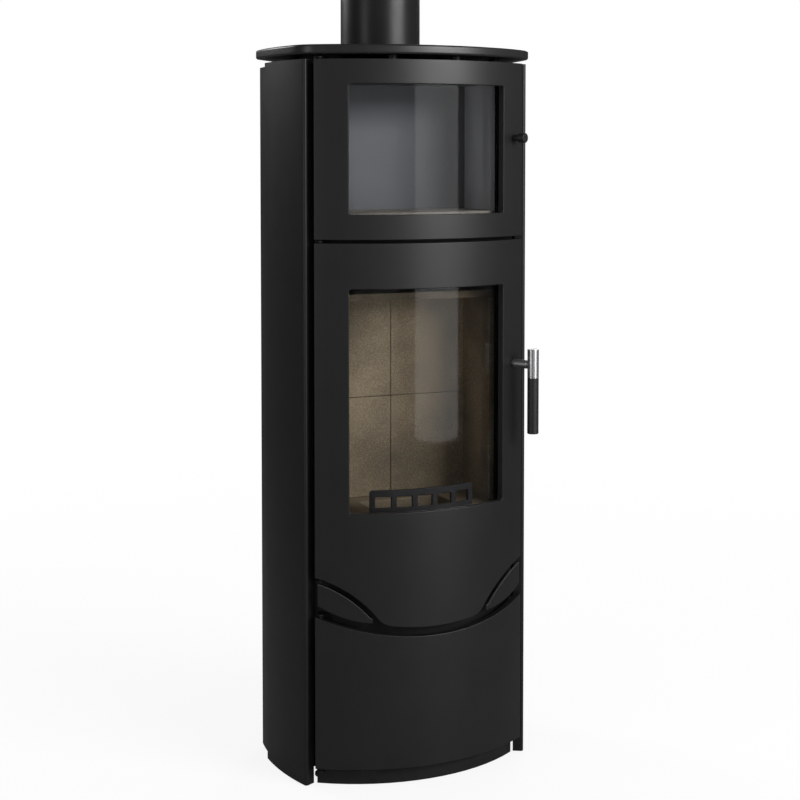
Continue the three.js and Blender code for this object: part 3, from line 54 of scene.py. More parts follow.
camera_data = bpy.data.cameras.new("photo_camera")
camera_data.sensor_width = 36.0
camera_data.lens = 73.417
camera_data.shift_y = -0.2058
camera_data.clip_end = 60.0
camera = bpy.data.objects.new("photo_camera", camera_data)
camera.location = CAMERA_PLACE
camera.rotation_euler = (math.pi / 2 - CAMERA_TILT, 0.0, -CAMERA_TURN)
bpy.context.scene.collection.objects.link(camera)
bpy.context.scene.camera = camera

# ------------------------------------------------------------------------------------------------
# The studio: a white room, seen white straight on and through glass; gloss sees it dimmer, and darker behind
# the stove, and what is matt gets softer light. The floor is pale, keeps the stove's shadow, and fades into
# the white wall further out.
AMBIENT = 0.34
GLOSS_FRONT = 0.34
GLOSS_BEHIND = 0.06
GLOSS_FRONT_FROM = -0.3
GLOSS_BEHIND_FROM = 0.5
GLOSS_FLOOR = 0.10
FLOOR_HALF = 14.0
FLOOR_COLOUR = (0.93, 0.93, 0.93, 1.0)
WHITE = (1.0, 1.0, 1.0, 1.0)
FLOOR_GLOW = 0.86
FLOOR_FADE_FROM = 0.5
FLOOR_FADE_TO = 3.0


def give(tree, target, inputs):
    """Gives a node's inputs their values, or links them to sockets."""
    for key, value in dict(inputs).items():
        if isinstance(value, bpy.types.NodeSocket):
            tree.links.new(value, target.inputs[key])
        else:
            target.inputs[key].default_value = value


def node(tree, kind, inputs=(), **options):
    """Adds a node with its options and inputs."""
    made = tree.nodes.new(kind)
    for option, value in options.items():
        setattr(made, option, value)
    give(tree, made, inputs)
    return made


world = bpy.data.worlds.new("white_room")
world.use_nodes = True
tree = world.node_tree
path = node(tree, "ShaderNodeLightPath").outputs
place = node(tree, "ShaderNodeTexCoord").outputs
parts = node(tree, "ShaderNodeSeparateXYZ", {"Vector": place["Generated"]}).outputs
dim = node(tree, "ShaderNodeMapRange", {
    "Value": parts["Y"], "From Min": GLOSS_FRONT_FROM, "From Max": GLOSS_BEHIND_FROM,
    "To Min": GLOSS_FRONT, "To Max": GLOSS_BEHIND,
})
in_gloss = node(tree, "ShaderNodeMix", {0: path["Is Glossy Ray"], 2: AMBIENT, 3: dim.outputs["Result"]})
seen = node(
    tree, "ShaderNodeMath", {0: path["Is Camera Ray"], 1: path["Is Transmission Ray"]}, operation="MAXIMUM",
)
level = node(tree, "ShaderNodeMix", {0: seen.outputs[0], 2: in_gloss.outputs[0], 3: 1.0})
give(tree, tree.nodes["Background"], {"Color": WHITE, "Strength": level.outputs[0]})
bpy.context.scene.world = world
bpy.context.scene.view_settings.view_transform = "Standard"

floor_mesh = bpy.data.meshes.new("studio_floor")
floor_mesh.from_pydata(
    [(-FLOOR_HALF, -FLOOR_HALF, 0), (FLOOR_HALF, -FLOOR_HALF, 0),
     (FLOOR_HALF, FLOOR_HALF, 0), (-FLOOR_HALF, FLOOR_HALF, 0)],
    [], [(0, 1, 2, 3)],
)
floor = bpy.data.objects.new("studio_floor", floor_mesh)
bpy.context.scene.collection.objects.link(floor)
floor_paint = bpy.data.materials.new("studio_floor")
floor_paint.use_nodes = True
tree = floor_paint.node_tree
surface = tree.nodes["Principled BSDF"]
give(tree, surface, {"Base Color": FLOOR_COLOUR, "Roughness": 0.9, "Specular IOR Level": 0.0})
path = node(tree, "ShaderNodeLightPath").outputs
place = node(tree, "ShaderNodeTexCoord").outputs
away = node(tree, "ShaderNodeVectorMath", {0: place["Object"]}, operation="LENGTH")
fade = node(tree, "ShaderNodeMapRange", {
    "Value": away.outputs["Value"], "From Min": FLOOR_FADE_FROM, "From Max": FLOOR_FADE_TO,
    "To Min": FLOOR_GLOW, "To Max": 1.0,
})
glow_level = node(tree, "ShaderNodeMapRange", {
    "Value": path["Is Camera Ray"], "To Min": GLOSS_FLOOR, "To Max": 1.0,
})
glow = node(tree, "ShaderNodeEmission", {"Color": WHITE, "Strength": glow_level.outputs["Result"]})
seen = node(
    tree, "ShaderNodeMath", {0: path["Is Camera Ray"], 1: path["Is Glossy Ray"]}, operation="MAXIMUM",
)
share = node(
    tree, "ShaderNodeMath", {0: seen.outputs[0], 1: fade.outputs["Result"]}, operation="MULTIPLY",
)
blend = node(tree, "ShaderNodeMixShader", {
    "Fac": share.outputs[0], 1: surface.outputs["BSDF"], 2: glow.outputs["Emission"],
})
tree.links.new(blend.outputs["Shader"], tree.nodes["Material Output"].inputs["Surface"])
floor_mesh.materials.append(floor_paint)

# Soft boxes: name, place, the point it faces, width, height, watts.
SOFT_BOXES = (
    ("front_box", (1.60, -2.89, 2.06), (0.0, -0.1, 1.78), 2.1, 0.96, 110.0),
    ("low_card", (-0.83, -3.60, 0.62), (0.0, -0.1, 0.62), 1.75, 1.24, 2.4),
    ("front_low_card", (1.62, -3.20, 0.72), (0.0, -0.1, 0.72), 1.9, 1.44, 21.0),
    ("back_left_box", (-1.80, 2.80, 2.40), (0.0, 0.0, 1.5), 1.0, 1.0, 40.0),
    ("left_box", (-3.10, -1.20, 1.10), (0.0, 0.0, 0.85), 0.8, 1.8, 15.0),
    ("back_right_box", (2.20, 2.60, 2.60), (0.0, 0.0, 0.9), 1.4, 1.4, 34.0),
)
for box_name, place, aim, width, height, watts in SOFT_BOXES:
    lamp = bpy.data.lights.new(box_name, "AREA")
    lamp.shape = "RECTANGLE"
    lamp.size = width
    lamp.size_y = height
    lamp.energy = watts
    lamp_object = bpy.data.objects.new(box_name, lamp)
    lamp_object.location = place
    way = Vector(aim) - Vector(place)
    lamp_object.rotation_euler = way.to_track_quat("-Z", "Y").to_euler()
    bpy.context.scene.collection.objects.link(lamp_object)

# ------------------------------------------------------------------------------------------------
# Side panels: 2.5 mm steel sheet, bowed in plan, with a flange folded in at the front. Each hooks
# over the base plate and the top frame. The sheet's edges are deburred, and the paint is a satin
# charcoal stove paint with a fine grain.
SIDE_RADIUS = 0.470
SIDE_WIDEST_Y = 0.037
SIDE_SEAM_Y = 0.055
SIDE_CORNER_Y = -0.101
SIDE_SHEET = 0.0025
FLANGE_END = (0.1999, -0.091)
FLANGE_BEND = 0.005
SIDE_BLEND = 0.012
DEBURR = 0.0004
BODY_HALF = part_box("right_side_panel")[1].x


def mix_of(tree, low, high, factor):
    """A colour ramp between two tones, or between a socket and a tone, by a factor socket."""
    low, high = [end if isinstance(end, bpy.types.NodeSocket) else (*end, 1.0) for end in (low, high)]
    return node(tree, "ShaderNodeMix", {0: factor, 6: low, 7: high}, data_type="RGBA").outputs[2]


def grain(tree, size, detail=2.0, stretch=(1.0, 1.0, 1.0)):
    """Noise on object coordinates with grains of about this size in metres."""
    place = node(tree, "ShaderNodeTexCoord").outputs["Object"]
    turn = node(tree, "ShaderNodeMapping", {"Vector": place, "Scale": stretch}).outputs["Vector"]
    return node(
        tree, "ShaderNodeTexNoise", {"Vector": turn, "Scale": 1.0 / size, "Detail": detail},
    ).outputs["Fac"]


def spread(tree, value, low, high, from_low=0.3, from_high=0.7):
    """Stretches a noise value to a range."""
    return node(tree, "ShaderNodeMapRange", {
        "Value": value, "From Min": from_low, "From Max": from_high, "To Min": low, "To Max": high,
    }).outputs["Result"]


def bumped(tree, surface, height, depth, strength=1.0):
    """Raises a surface by a height value, in metres."""
    bump = node(tree, "ShaderNodeBump", {"Height": height, "Distance": depth, "Strength": strength})
    tree.links.new(bump.outputs["Normal"], surface.inputs["Normal"])


def new_finish(name):
    """An empty material with its node tree and its main shader."""
    finish = bpy.data.materials.new(name)
    finish.use_nodes = True
    return finish, finish.node_tree, finish.node_tree.nodes["Principled BSDF"]


def stove_paint(name, tone, rough, gloss):
    """Heat-proof satin paint: a fine orange-peel grain, and slow shifts of tone and sheen."""
    finish, tree, surface = new_finish(name)
    low = (tone * 0.9, tone * 0.9, tone * 0.93)
    high = (tone * 1.1, tone * 1.1, tone * 1.12)
    give(tree, surface, {
        "Base Color": mix_of(tree, low, high, grain(tree, 0.11, 3.0)),
        "Roughness": spread(tree, grain(tree, 0.05, 4.0), rough - 0.025, rough + 0.025),
        "Specular IOR Level": gloss,
    })
    bumped(tree, surface, grain(tree, 0.0009, 2.0), 0.00006, 0.6)
    return finish


CASING_PAINT = stove_paint("casing_paint", 0.0080, 0.40, 0.28)


def outward(shape):
    """Turns every face of a closed bmesh outwards."""
    bmesh.ops.recalc_face_normals(shape, faces=shape.faces)
    return shape


def closed_plate(stages):
    """A closed mesh from outlines at rising depth. Each stage is a list of loops of points, the rim
    first and then the holes; every stage has as many points. Caps close the first and last."""
    plate = bmesh.new()
    rows = [[[plate.verts.new(p) for p in loop] for loop in stage] for stage in stages]
    for near, far in zip(rows, rows[1:]):
        for ring, next_ring in zip(near, far):
            for i, corner in enumerate(ring):
                j = (i + 1) % len(ring)
                plate.faces.new((corner, ring[j], next_ring[j], next_ring[i]))
    for row in (rows[0], rows[-1]):
        corners = [v for ring in row for v in ring]
        for a, b, c in geometry.tessellate_polygon([[v.co for v in ring] for ring in row]):
            if len({a, b, c}) == 3:
                plate.faces.new((corners[a], corners[b], corners[c]))
    return outward(plate)


def inset_loop(points, gap):
    """Moves a flat loop of (x, y) points to its left by gap, with mitred corners."""
    moved = []
    count = len(points)
    for i, point in enumerate(points):
        before = Vector(points[i - 1])
        here = Vector(point)
        after = Vector(points[(i + 1) % count])
        lead = (here - before).normalized()
        tail = (after - here).normalized()
        way = (lead + tail).normalized()
        mitre = gap / max(way.dot(lead), 0.35)
        moved.append((here.x - way.y * mitre, here.y + way.x * mitre))
    return moved


def round_corner(before, corner, after, radius, steps):
    """Points on the arc that rounds a corner of a path."""
    here = Vector(corner)
    a = (Vector(before) - here).normalized()
    b = (Vector(after) - here).normalized()
    half = a.angle(b) / 2
    middle = here + (a + b).normalized() * (radius / math.sin(half))
    reach = radius / math.tan(half)
    start = here + a * reach - middle
    end = here + b * reach - middle
    first = math.atan2(start.y, start.x)
    turn = math.atan2(end.y, end.x) - first
    turn = (turn + math.pi) % (2 * math.pi) - math.pi
    angles = [first + turn * i / steps for i in range(steps + 1)]
    return [(middle.x + radius * math.cos(t), middle.y + radius * math.sin(t)) for t in angles]


def side_x(y, inset=0.0):
    """Half the width over the side panels at a depth y, less an inset."""
    return math.sqrt((SIDE_RADIUS - inset) ** 2 - (y - SIDE_WIDEST_Y) ** 2) - (SIDE_RADIUS - BODY_HALF)


def side_arc(y0, y1, inset, steps):
    """Points along the right side's arc."""
    ys = [y0 + (y1 - y0) * i / steps for i in range(steps + 1)]
    return [(side_x(y, inset), y) for y in ys]


def sheet_loop(path, thickness):
    """The closed plan of a bent sheet whose outer face follows the path, thickness to its left."""
    inner = []
    for i, point in enumerate(path):
        here = Vector(point)
        lead = (here - Vector(path[i - 1])).normalized() if i else None
        tail = (Vector(path[i + 1]) - here).normalized() if i + 1 < len(path) else lead
        lead = lead or tail
        way = (lead + tail).normalized()
        mitre = thickness / way.dot(lead)
        inner.append((here.x - way.y * mitre, here.y + way.x * mitre))
    return list(path) + inner[::-1]


def upright_sheet(path, thickness, z0, z1, edge=DEBURR):
    """A bent sheet standing upright, with its top and bottom edges eased."""
    loop = sheet_loop(path, thickness)
    tight = inset_loop(loop, edge)
    heights = ((z0, tight), (z0 + edge, loop), (z1 - edge, loop), (z1, tight))
    return closed_plate([[[(x, y, z) for x, y in points]] for z, points in heights])


def mesh_of(shape, name):
    """Turns a bmesh, which is used up, or a mesh into a mesh of that name."""
    if not isinstance(shape, bmesh.types.BMesh):
        shape.name = name
        return shape
    mesh = bpy.data.meshes.new(name)
    shape.to_mesh(mesh)
    shape.free()
    return mesh


def add_piece(name, shape, finish, body, stands_for=(), sharp=35.0):
    """Makes a bmesh or mesh a shaded piece that rides on a body."""
    mesh = mesh_of(shape, name)
    piece = bpy.data.objects.new(name, mesh)
    bpy.context.scene.collection.objects.link(piece)
    if not mesh.has_custom_normals:
        mesh.shade_smooth()
        mesh.set_sharp_from_angle(angle=math.radians(sharp))
        weigh = piece.modifiers.new("even_shading", "WEIGHTED_NORMAL")
        weigh.keep_sharp = True
    for one in finish if isinstance(finish, (list, tuple)) else (finish,):
        mesh.materials.append(one)
    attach(piece, body)
    if stands_for:
        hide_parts(*stands_for)
    return piece


def mirrored(shape):
    """The same shape on the stove's other side, with its faces turned back outwards."""
    bmesh.ops.scale(shape, vec=(-1.0, 1.0, 1.0), verts=shape.verts)
    bmesh.ops.reverse_faces(shape, faces=shape.faces)
    return shape


side_corner = (side_x(SIDE_CORNER_Y), SIDE_CORNER_Y)
side_from_y = SIDE_CORNER_Y + SIDE_BLEND
side_after = (side_x(side_from_y), side_from_y)
side_path = (
    [FLANGE_END]
    + round_corner(FLANGE_END, side_corner, side_after, FLANGE_BEND, 8)
    + side_arc(side_from_y, SIDE_SEAM_Y, 0.0, 18)
)
panel_low, panel_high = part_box("right_side_panel")
for word in ("right", "left"):
    panel = upright_sheet(side_path, SIDE_SHEET, panel_low.z, panel_high.z)
    if word == "left":
        mirrored(panel)
    add_piece(f"{word}_side_sheet", panel, CASING_PAINT, "stove_body", [f"{word}_side_panel"])

# ------------------------------------------------------------------------------------------------
# Rear shell: one thinner sheet set just inside the side panels, folded at the rear corners and
# louvred low and high on the back, so that room air can rise behind the firebox. A pressed hood
# covers each slot, and two rows of zinc screws hold the sheet.
REAR_SET_IN = 0.0045
REAR_SHEET = 0.002
REAR_LAP_Y = SIDE_SEAM_Y - 0.022
REAR_CORNER_Y = 0.118
REAR_ARC_STOP = 0.008               # the side's arc ends this far before the rear corner
REAR_BEND = 0.009
BACK_HALF = 0.165
LOUVRE_HALF = 0.110
LOUVRE_PITCH = 0.016
LOUVRE_HEIGHT = 0.006
LOUVRE_COUNT = 7
LOUVRE_ROWS = (0.070, 1.130)
HOOD_HALF = 0.1125
HOOD_DEEP = 0.0038
HOOD_LAP = 0.001
HOOD_END = 0.12                     # the hood's rise at its ends, as a share of HOOD_DEEP
HOOD_BLUNT = 14                     # how abruptly it falls to that
HOOD_STEPS = 40
HOOD_ARC = 6
SCREW_R = 0.0036
SCREW_SOCKET_R = 0.0014
SCREW_HIGH = 0.0018
SCREW_X = 0.150
SCREW_FROM = 0.060
SCREW_PITCH = 0.286
SCREW_COUNT = 5
rear_low, rear_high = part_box("rear_shell")
BACK_Y = rear_high.y


def applied(mesh, kind, options, values=()):
    """Runs one modifier on a mesh and returns the plain mesh that it makes."""
    holder = bpy.data.objects.new("holder", mesh)
    bpy.context.scene.collection.objects.link(holder)
    work = holder.modifiers.new("work", kind)
    for option, value in options.items():
        setattr(work, option, value)
    for key, value in dict(values).items():
        work[key] = value
    bpy.context.view_layer.update()
    shown = holder.evaluated_get(bpy.context.evaluated_depsgraph_get())
    result = bpy.data.meshes.new_from_object(shown)
    holder.modifiers.remove(work)
    bpy.data.objects.remove(holder)
    return result


def difference(target, cutters, name):
    """Cuts solids out of a shape and returns the result as a plain mesh."""
    cutter = bpy.data.objects.new(name + "_cut", mesh_of(cutters, name + "_cut"))
    bpy.context.scene.collection.objects.link(cutter)
    options = {"operation": "DIFFERENCE", "solver": "EXACT", "object": cutter}
    result = applied(mesh_of(target, name), "BOOLEAN", options)
    bpy.data.objects.remove(cutter)
    return result


def add_box(shape, low, high):
    """Adds a plain block to a bmesh, as a cutter or part of a welded piece."""
    made = bmesh.ops.create_cube(shape, size=1.0)["verts"]
    size = Vector(high) - Vector(low)
    bmesh.ops.scale(shape, vec=size, verts=made)
    bmesh.ops.translate(shape, vec=(Vector(high) + Vector(low)) / 2, verts=made)


def circle_loop(x, y, radius, steps, clockwise=False):
    """Points round a circle."""
    way = -1 if clockwise else 1
    turns = [way * 2 * math.pi * i / steps for i in range(steps)]
    return [(x + radius * math.cos(t), y + radius * math.sin(t)) for t in turns]


def add_turned(shape, profile, place, steps=48, turn=None):
    """Adds a turned part: (radius, height) pairs about a vertical axis, then turned and placed."""
    rows = []
    for radius, height in profile:
        if radius < 1e-7:
            rows.append([shape.verts.new((0.0, 0.0, height))])
        else:
            rows.append([shape.verts.new((x, y, height)) for x, y in circle_loop(0.0, 0.0, radius, steps)])
    for near, far in zip(rows, rows[1:]):
        for i in range(steps):
            j = (i + 1) % steps
            ring = (near[i % len(near)], near[j % len(near)], far[j % len(far)], far[i % len(far)])
            corners = list(dict.fromkeys(ring))
            if len(corners) > 2:
                shape.faces.new(corners)
    made = [v for row in rows for v in row]
    if turn is not None:
        bmesh.ops.rotate(shape, verts=made, cent=(0, 0, 0), matrix=turn)
    bmesh.ops.translate(shape, verts=made, vec=place)
    return made


def new_tree(name, inputs):
    """An empty geometry-nodes tree with named inputs, and its group input and output nodes."""
    tree = bpy.data.node_groups.new(name, "GeometryNodeTree")
    tree.interface.new_socket("Geometry", in_out="INPUT", socket_type="NodeSocketGeometry")
    for label, kind in inputs:
        tree.interface.new_socket(label, in_out="INPUT", socket_type=kind)
    tree.interface.new_socket("Geometry", in_out="OUTPUT", socket_type="NodeSocketGeometry")
    return tree, tree.nodes.new("NodeGroupInput"), tree.nodes.new("NodeGroupOutput")


def end_tree(tree, entry, leave, made):
    """Ends a tree: real geometry in the finish that it was given."""
    real = node(tree, "GeometryNodeRealizeInstances", {"Geometry": made}).outputs["Geometry"]
    paint = node(tree, "GeometryNodeSetMaterial", {"Geometry": real, "Material": entry.outputs["Finish"]})
    tree.links.new(paint.outputs["Geometry"], leave.inputs["Geometry"])


def grown(seed, tree, values):
    """Runs a tree on a shape, with values for its named inputs."""
    sockets = {
        item.identifier: values[item.name] for item in tree.interface.items_tree
        if item.in_out == "INPUT" and item.name in values
    }
    return applied(mesh_of(seed, "seed"), "NODES", {"node_group": tree}, sockets)


def row_tree():
    """Repeats what it is given, one pitch apart."""
    tree, entry, leave = new_tree("even_row", (
        ("Count", "NodeSocketInt"), ("Pitch", "NodeSocketVector"), ("Finish", "NodeSocketMaterial"),
    ))
    given = entry.outputs
    line = node(
        tree, "GeometryNodeMeshLine", {"Count": given["Count"], "Offset": given["Pitch"]}, mode="OFFSET",
    )
    repeat = node(tree, "GeometryNodeInstanceOnPoints", {
        "Points": line.outputs["Mesh"], "Instance": given["Geometry"],
    })
    end_tree(tree, entry, leave, repeat.outputs["Instances"])
    return tree


rear_side = side_arc(REAR_LAP_Y, REAR_CORNER_Y - REAR_ARC_STOP, REAR_SET_IN, 8)
rear_corner = (side_x(REAR_CORNER_Y, REAR_SET_IN), REAR_CORNER_Y)
back_corner = (BACK_HALF, BACK_Y)
rear_half = (
    rear_side
    + round_corner(rear_side[-1], rear_corner, back_corner, REAR_BEND, 6)
    + round_corner(rear_corner, back_corner, (0.0, BACK_Y), REAR_BEND, 6)
)
rear_path = rear_half + [(-x, y) for x, y in reversed(rear_half)]
rear = upright_sheet(rear_path, REAR_SHEET, rear_low.z, rear_high.z)


def quarter_turn(steps):
    """Angles from zero to a right angle."""
    return [math.pi / 2 * i / steps for i in range(steps + 1)]


def louvre_hood(z):
    """Outlines, from end to end, of a pressed hood over the slot that starts at z."""
    stages = []
    for i in range(HOOD_STEPS + 1):
        part = 2 * i / HOOD_STEPS - 1
        rise = HOOD_DEEP * max(HOOD_END, 1 - abs(part) ** HOOD_BLUNT)
        top = z + LOUVRE_HEIGHT + HOOD_LAP
        outer = [
            (rise * math.sin(t), top - LOUVRE_HEIGHT * (1 - math.cos(t))) for t in quarter_turn(HOOD_ARC)
        ]
        inner = [(y - REAR_SHEET / 2, up - REAR_SHEET / 4) for y, up in reversed(outer)]
        stages.append([[(part * HOOD_HALF, BACK_Y + y, up) for y, up in outer + inner]])
    return stages


slot_seed = bmesh.new()
hood_seed = bmesh.new()
for row_z in LOUVRE_ROWS:
    add_box(
        slot_seed, (-LOUVRE_HALF, BACK_Y - LOUVRE_HEIGHT, row_z),
        (LOUVRE_HALF, BACK_Y + LOUVRE_HEIGHT, row_z + LOUVRE_HEIGHT),
    )
    hood_seed.from_mesh(mesh_of(closed_plate(louvre_hood(row_z)), "hood"))
ROW = row_tree()
louvre_row = {"Count": LOUVRE_COUNT, "Pitch": (0.0, 0.0, LOUVRE_PITCH), "Finish": CASING_PAINT}
slots = bmesh.new()
slots.from_mesh(grown(slot_seed, ROW, louvre_row))
rear_mesh = difference(rear, slots, "rear_sheet")
add_piece("rear_sheet", rear_mesh, CASING_PAINT, "stove_body", ["rear_shell"])
hoods = grown(hood_seed, ROW, louvre_row)
add_piece("louvre_hoods", hoods, (), "stove_body")

screw_seed = bmesh.new()
screw_profile = [
    (0.0, SCREW_HIGH * 0.4), (SCREW_SOCKET_R, SCREW_HIGH * 0.4), (SCREW_SOCKET_R, SCREW_HIGH),
    (SCREW_R * 0.7, SCREW_HIGH), (SCREW_R * 0.95, SCREW_HIGH * 0.55), (SCREW_R, SCREW_HIGH * 0.2),
    (SCREW_R, -SCREW_HIGH * 0.3), (0.0, -SCREW_HIGH * 0.3),
]
for x in (-SCREW_X, SCREW_X):
    add_turned(
        screw_seed, screw_profile, (x, BACK_Y, SCREW_FROM), 20, Matrix.Rotation(-math.pi / 2, 3, "X"),
    )
SCREW_ZINC = stove_paint("screw_zinc", 0.05, 0.34, 0.6)
screw_row = {"Count": SCREW_COUNT, "Pitch": (0.0, 0.0, SCREW_PITCH), "Finish": SCREW_ZINC}
add_piece("rear_screws", grown(outward(screw_seed), ROW, screw_row), (), "stove_body")

# ------------------------------------------------------------------------------------------------
# Cover plate: a 17 mm cast plate with rounded edges, ground flat on top and painted like the
# casing. Its cast bosses stand on the top frame and leave a shadow gap all round.
COVER_OVERHANG = 0.007
COVER_FRONT_OVERHANG = 0.005
COVER_CORNER_R = 0.065
COVER_CORNER_IN = 0.034             # where the rounding of the front corner starts, along the front
COVER_CORNER_BACK = 0.026           # and where it ends, along the side
COVER_REAR_R = 0.016
COVER_EDGE_R = 0.004
COVER_REAR_Y = 0.097
COVER_ARC_START = 0.002             # the side's arc starts this far behind the front rounding
COVER_ARC_STOP = 0.014              # and ends this far before the rear corner
COVER_REAR_AIM = 0.020              # the rear rounding takes the side's direction this far before it
COVER_BACK_WIDER = 0.005
FLUE_Y = 0.079
FLUE_HOLE_R = 0.077
FRONT_RADIUS = 0.361
BOSS_RADIUS = 0.009
BOSS_SPOTS = (
    (-0.1759, -0.0520), (0.1759, -0.0520), (-0.0620, -0.1269), (0.0620, -0.1269),
    (-0.1500, 0.1300), (0.1500, 0.1300),
)
COVER_PAINT = stove_paint("cover_paint", 0.0090, 0.34, 0.38)
front_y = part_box("storage_door")[0].y
arc_centre_y = front_y + FRONT_RADIUS
cover_low, cover_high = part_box("top_plate")
COVER_THICK = 0.017
cover_front_r = FRONT_RADIUS + COVER_FRONT_OVERHANG


def cover_front_y(x):
    """The cover plate's front edge at x."""
    return arc_centre_y - math.sqrt(cover_front_r**2 - x * x)


# The front corner is where the front edge meets the side edge, found by going to and fro.
corner_y = FLANGE_END[1]
for _ in range(40):
    corner_y = cover_front_y(side_x(corner_y, -COVER_OVERHANG))
cover_corner = (side_x(corner_y, -COVER_OVERHANG), corner_y)
cover_rear = (side_x(COVER_REAR_Y, -COVER_OVERHANG), COVER_REAR_Y)
cover_back = (BACK_HALF + COVER_BACK_WIDER, cover_high.y)
side_starts_y = corner_y + COVER_CORNER_BACK
rear_aim_y = COVER_REAR_Y - COVER_REAR_AIM
FRONT_RUN = 30
front_xs = [(cover_corner[0] - COVER_CORNER_IN) * i / FRONT_RUN for i in range(FRONT_RUN + 1)]
front_points = [(x, cover_front_y(x)) for x in front_xs]
cover_half = (
    front_points
    + round_corner(
        front_points[-1], cover_corner, (side_x(side_starts_y, -COVER_OVERHANG), side_starts_y),
        COVER_CORNER_R, 12,
    )
    + side_arc(
        side_starts_y + COVER_ARC_START, COVER_REAR_Y - COVER_ARC_STOP, -COVER_OVERHANG, 16,
    )
    + round_corner(
        (side_x(rear_aim_y, -COVER_OVERHANG), rear_aim_y), cover_rear, cover_back, COVER_REAR_R, 8,
    )
    + round_corner(cover_rear, cover_back, (0.0, cover_back[1]), COVER_REAR_R, 8)
)
cover_loop = cover_half + [(-x, y) for x, y in reversed(cover_half[1:])]
hole_loop = circle_loop(0.0, FLUE_Y, FLUE_HOLE_R, 72, clockwise=True)
EDGE_STEPS = 6
cover_stages = []
cover_top = cover_high.z
for end in (1, -1):
    for t in quarter_turn(EDGE_STEPS)[::end]:
        gap = COVER_EDGE_R * (1 - math.sin(t))
        drop = COVER_EDGE_R * (1 - math.cos(t))
        z = cover_top - drop if end > 0 else cover_top - COVER_THICK + drop
        hole_gap = gap * 0.2
        cover_stages.append([
            [(x, y, z) for x, y in inset_loop(cover_loop, gap)],
            [(x, y, z) for x, y in inset_loop(hole_loop, hole_gap)],
        ])
cover = closed_plate(cover_stages)
for x, y in BOSS_SPOTS:
    add_turned(
        cover,
        [(0.0, cover_low.z), (BOSS_RADIUS, cover_low.z), (BOSS_RADIUS, cover_top - COVER_THICK),
         (0.0, cover_top - COVER_THICK)],
        (x, y, 0.0), 24,
    )
add_piece("cover_plate", outward(cover), COVER_PAINT, "stove_body", ["top_plate"])

# ------------------------------------------------------------------------------------------------
# Flue pipe: 150 mm pipe of 2 mm sheet steel in satin black, which slips over the collar that is
# riveted to the firebox's top.
PIPE_RADIUS = 0.075
PIPE_WALL = 0.002
PIPE_PAINT = stove_paint("pipe_paint", 0.0070, 0.36, 0.26)
pipe_low, pipe_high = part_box("flue_pipe")
pipe_bore = PIPE_RADIUS - PIPE_WALL
pipe = bmesh.new()
pipe_profile = [
    (pipe_bore, pipe_low.z), (PIPE_RADIUS, pipe_low.z), (PIPE_RADIUS, pipe_high.z - DEBURR),
    (PIPE_RADIUS - DEBURR, pipe_high.z), (pipe_bore + DEBURR, pipe_high.z),
    (pipe_bore, pipe_high.z - DEBURR), (pipe_bore, pipe_low.z),
]
add_turned(pipe, pipe_profile, (0.0, FLUE_Y, 0.0), 120)
bmesh.ops.remove_doubles(pipe, verts=pipe.verts, dist=1e-6)
add_piece("flue_pipe_wall", outward(pipe), PIPE_PAINT, "stove_body", ["flue_pipe"])

# ------------------------------------------------------------------------------------------------
# Rolled doors. Each is one sheet rolled to the front's radius, with rims folded back round its
# outline and its window, and a soft bend along every fold: oven door, fire door, storage door.
DOOR_SKIN = 0.004
DOOR_DEEP = 0.012
DOOR_RIM = 0.005
FOLD_R = 0.0011
FOLD_STEPS = 5
FOLD_LIP = 0.0003
ROLL_STEP = math.radians(1.0)
DOOR_PAINT = stove_paint("door_paint", 0.0082, 0.40, 0.32)
DOOR_REACH = 0.205                  # half widths seen from the front, and then along the rolled face
WINDOW_REACH = 0.1514
DOOR_HALF = FRONT_RADIUS * math.asin(DOOR_REACH / FRONT_RADIUS)
WINDOW_HALF = FRONT_RADIUS * math.asin(WINDOW_REACH / FRONT_RADIUS)
WINDOW_CORNER = 0.005
OVEN_WINDOW = (1.022, 1.252)
FIRE_WINDOW = (0.494, 0.8915)
oven_low, oven_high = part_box("oven_door_frame")
fire_low, fire_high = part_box("fire_door_frame")
panel_door_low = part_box("storage_door")[0]

# The fire door's lower edge: a shallow middle arc that sweeps up into a large arc on each side.
SWEEP_MID_Z = fire_low.z
SWEEP_MID_CURVE = 1.124
SWEEP_MID_HALF = 0.075
SWEEP_JOIN = 0.103
SWEEP_KNEE_IN = 0.011
SWEEP_KNEE_UP = 0.0015
SWEEP_S = 0.265
SWEEP_Z = 0.1815
SWEEP_R = 0.2026
PANEL_TOP_MID = 0.270
PANEL_TOP_CURVE = 1.268


def rolled(along, deep, up):
    """A point of the flat pattern, rolled to the front's radius."""
    turn = along / FRONT_RADIUS
    radius = FRONT_RADIUS - deep
    return Vector((radius * math.sin(turn), arc_centre_y - radius * math.cos(turn), up))


def roll_up(flat, name):
    """Rolls a flat pattern (along, deep, up) to the front's radius, and its shading with it."""
    reach = max(abs(v.co.x) for v in flat.verts)
    count = int(reach / (FRONT_RADIUS * ROLL_STEP)) + 1
    for i in range(-count, count + 1):
        everything = flat.verts[:] + flat.edges[:] + flat.faces[:]
        bmesh.ops.bisect_plane(
            flat, geom=everything, plane_co=(i * FRONT_RADIUS * ROLL_STEP, 0, 0), plane_no=(1, 0, 0),
            dist=1e-6,
        )
    mesh = mesh_of(flat, name + "_flat")
    mesh.shade_smooth()
    mesh.set_sharp_from_angle(angle=math.radians(35))
    result = applied(mesh, "WEIGHTED_NORMAL", {"keep_sharp": True})
    shades = [corner.vector.copy() for corner in result.corner_normals]
    turns = [v.co.x / FRONT_RADIUS for v in result.vertices]
    for v in result.vertices:
        v.co = rolled(v.co.x, v.co.y, v.co.z)
    turned = []
    for corner, shade in zip(result.loops, shades):
        turn = turns[corner.vertex_index]
        turned.append(Matrix.Rotation(turn, 3, "Z") @ shade)
    result.normals_split_custom_set(turned)
    return result


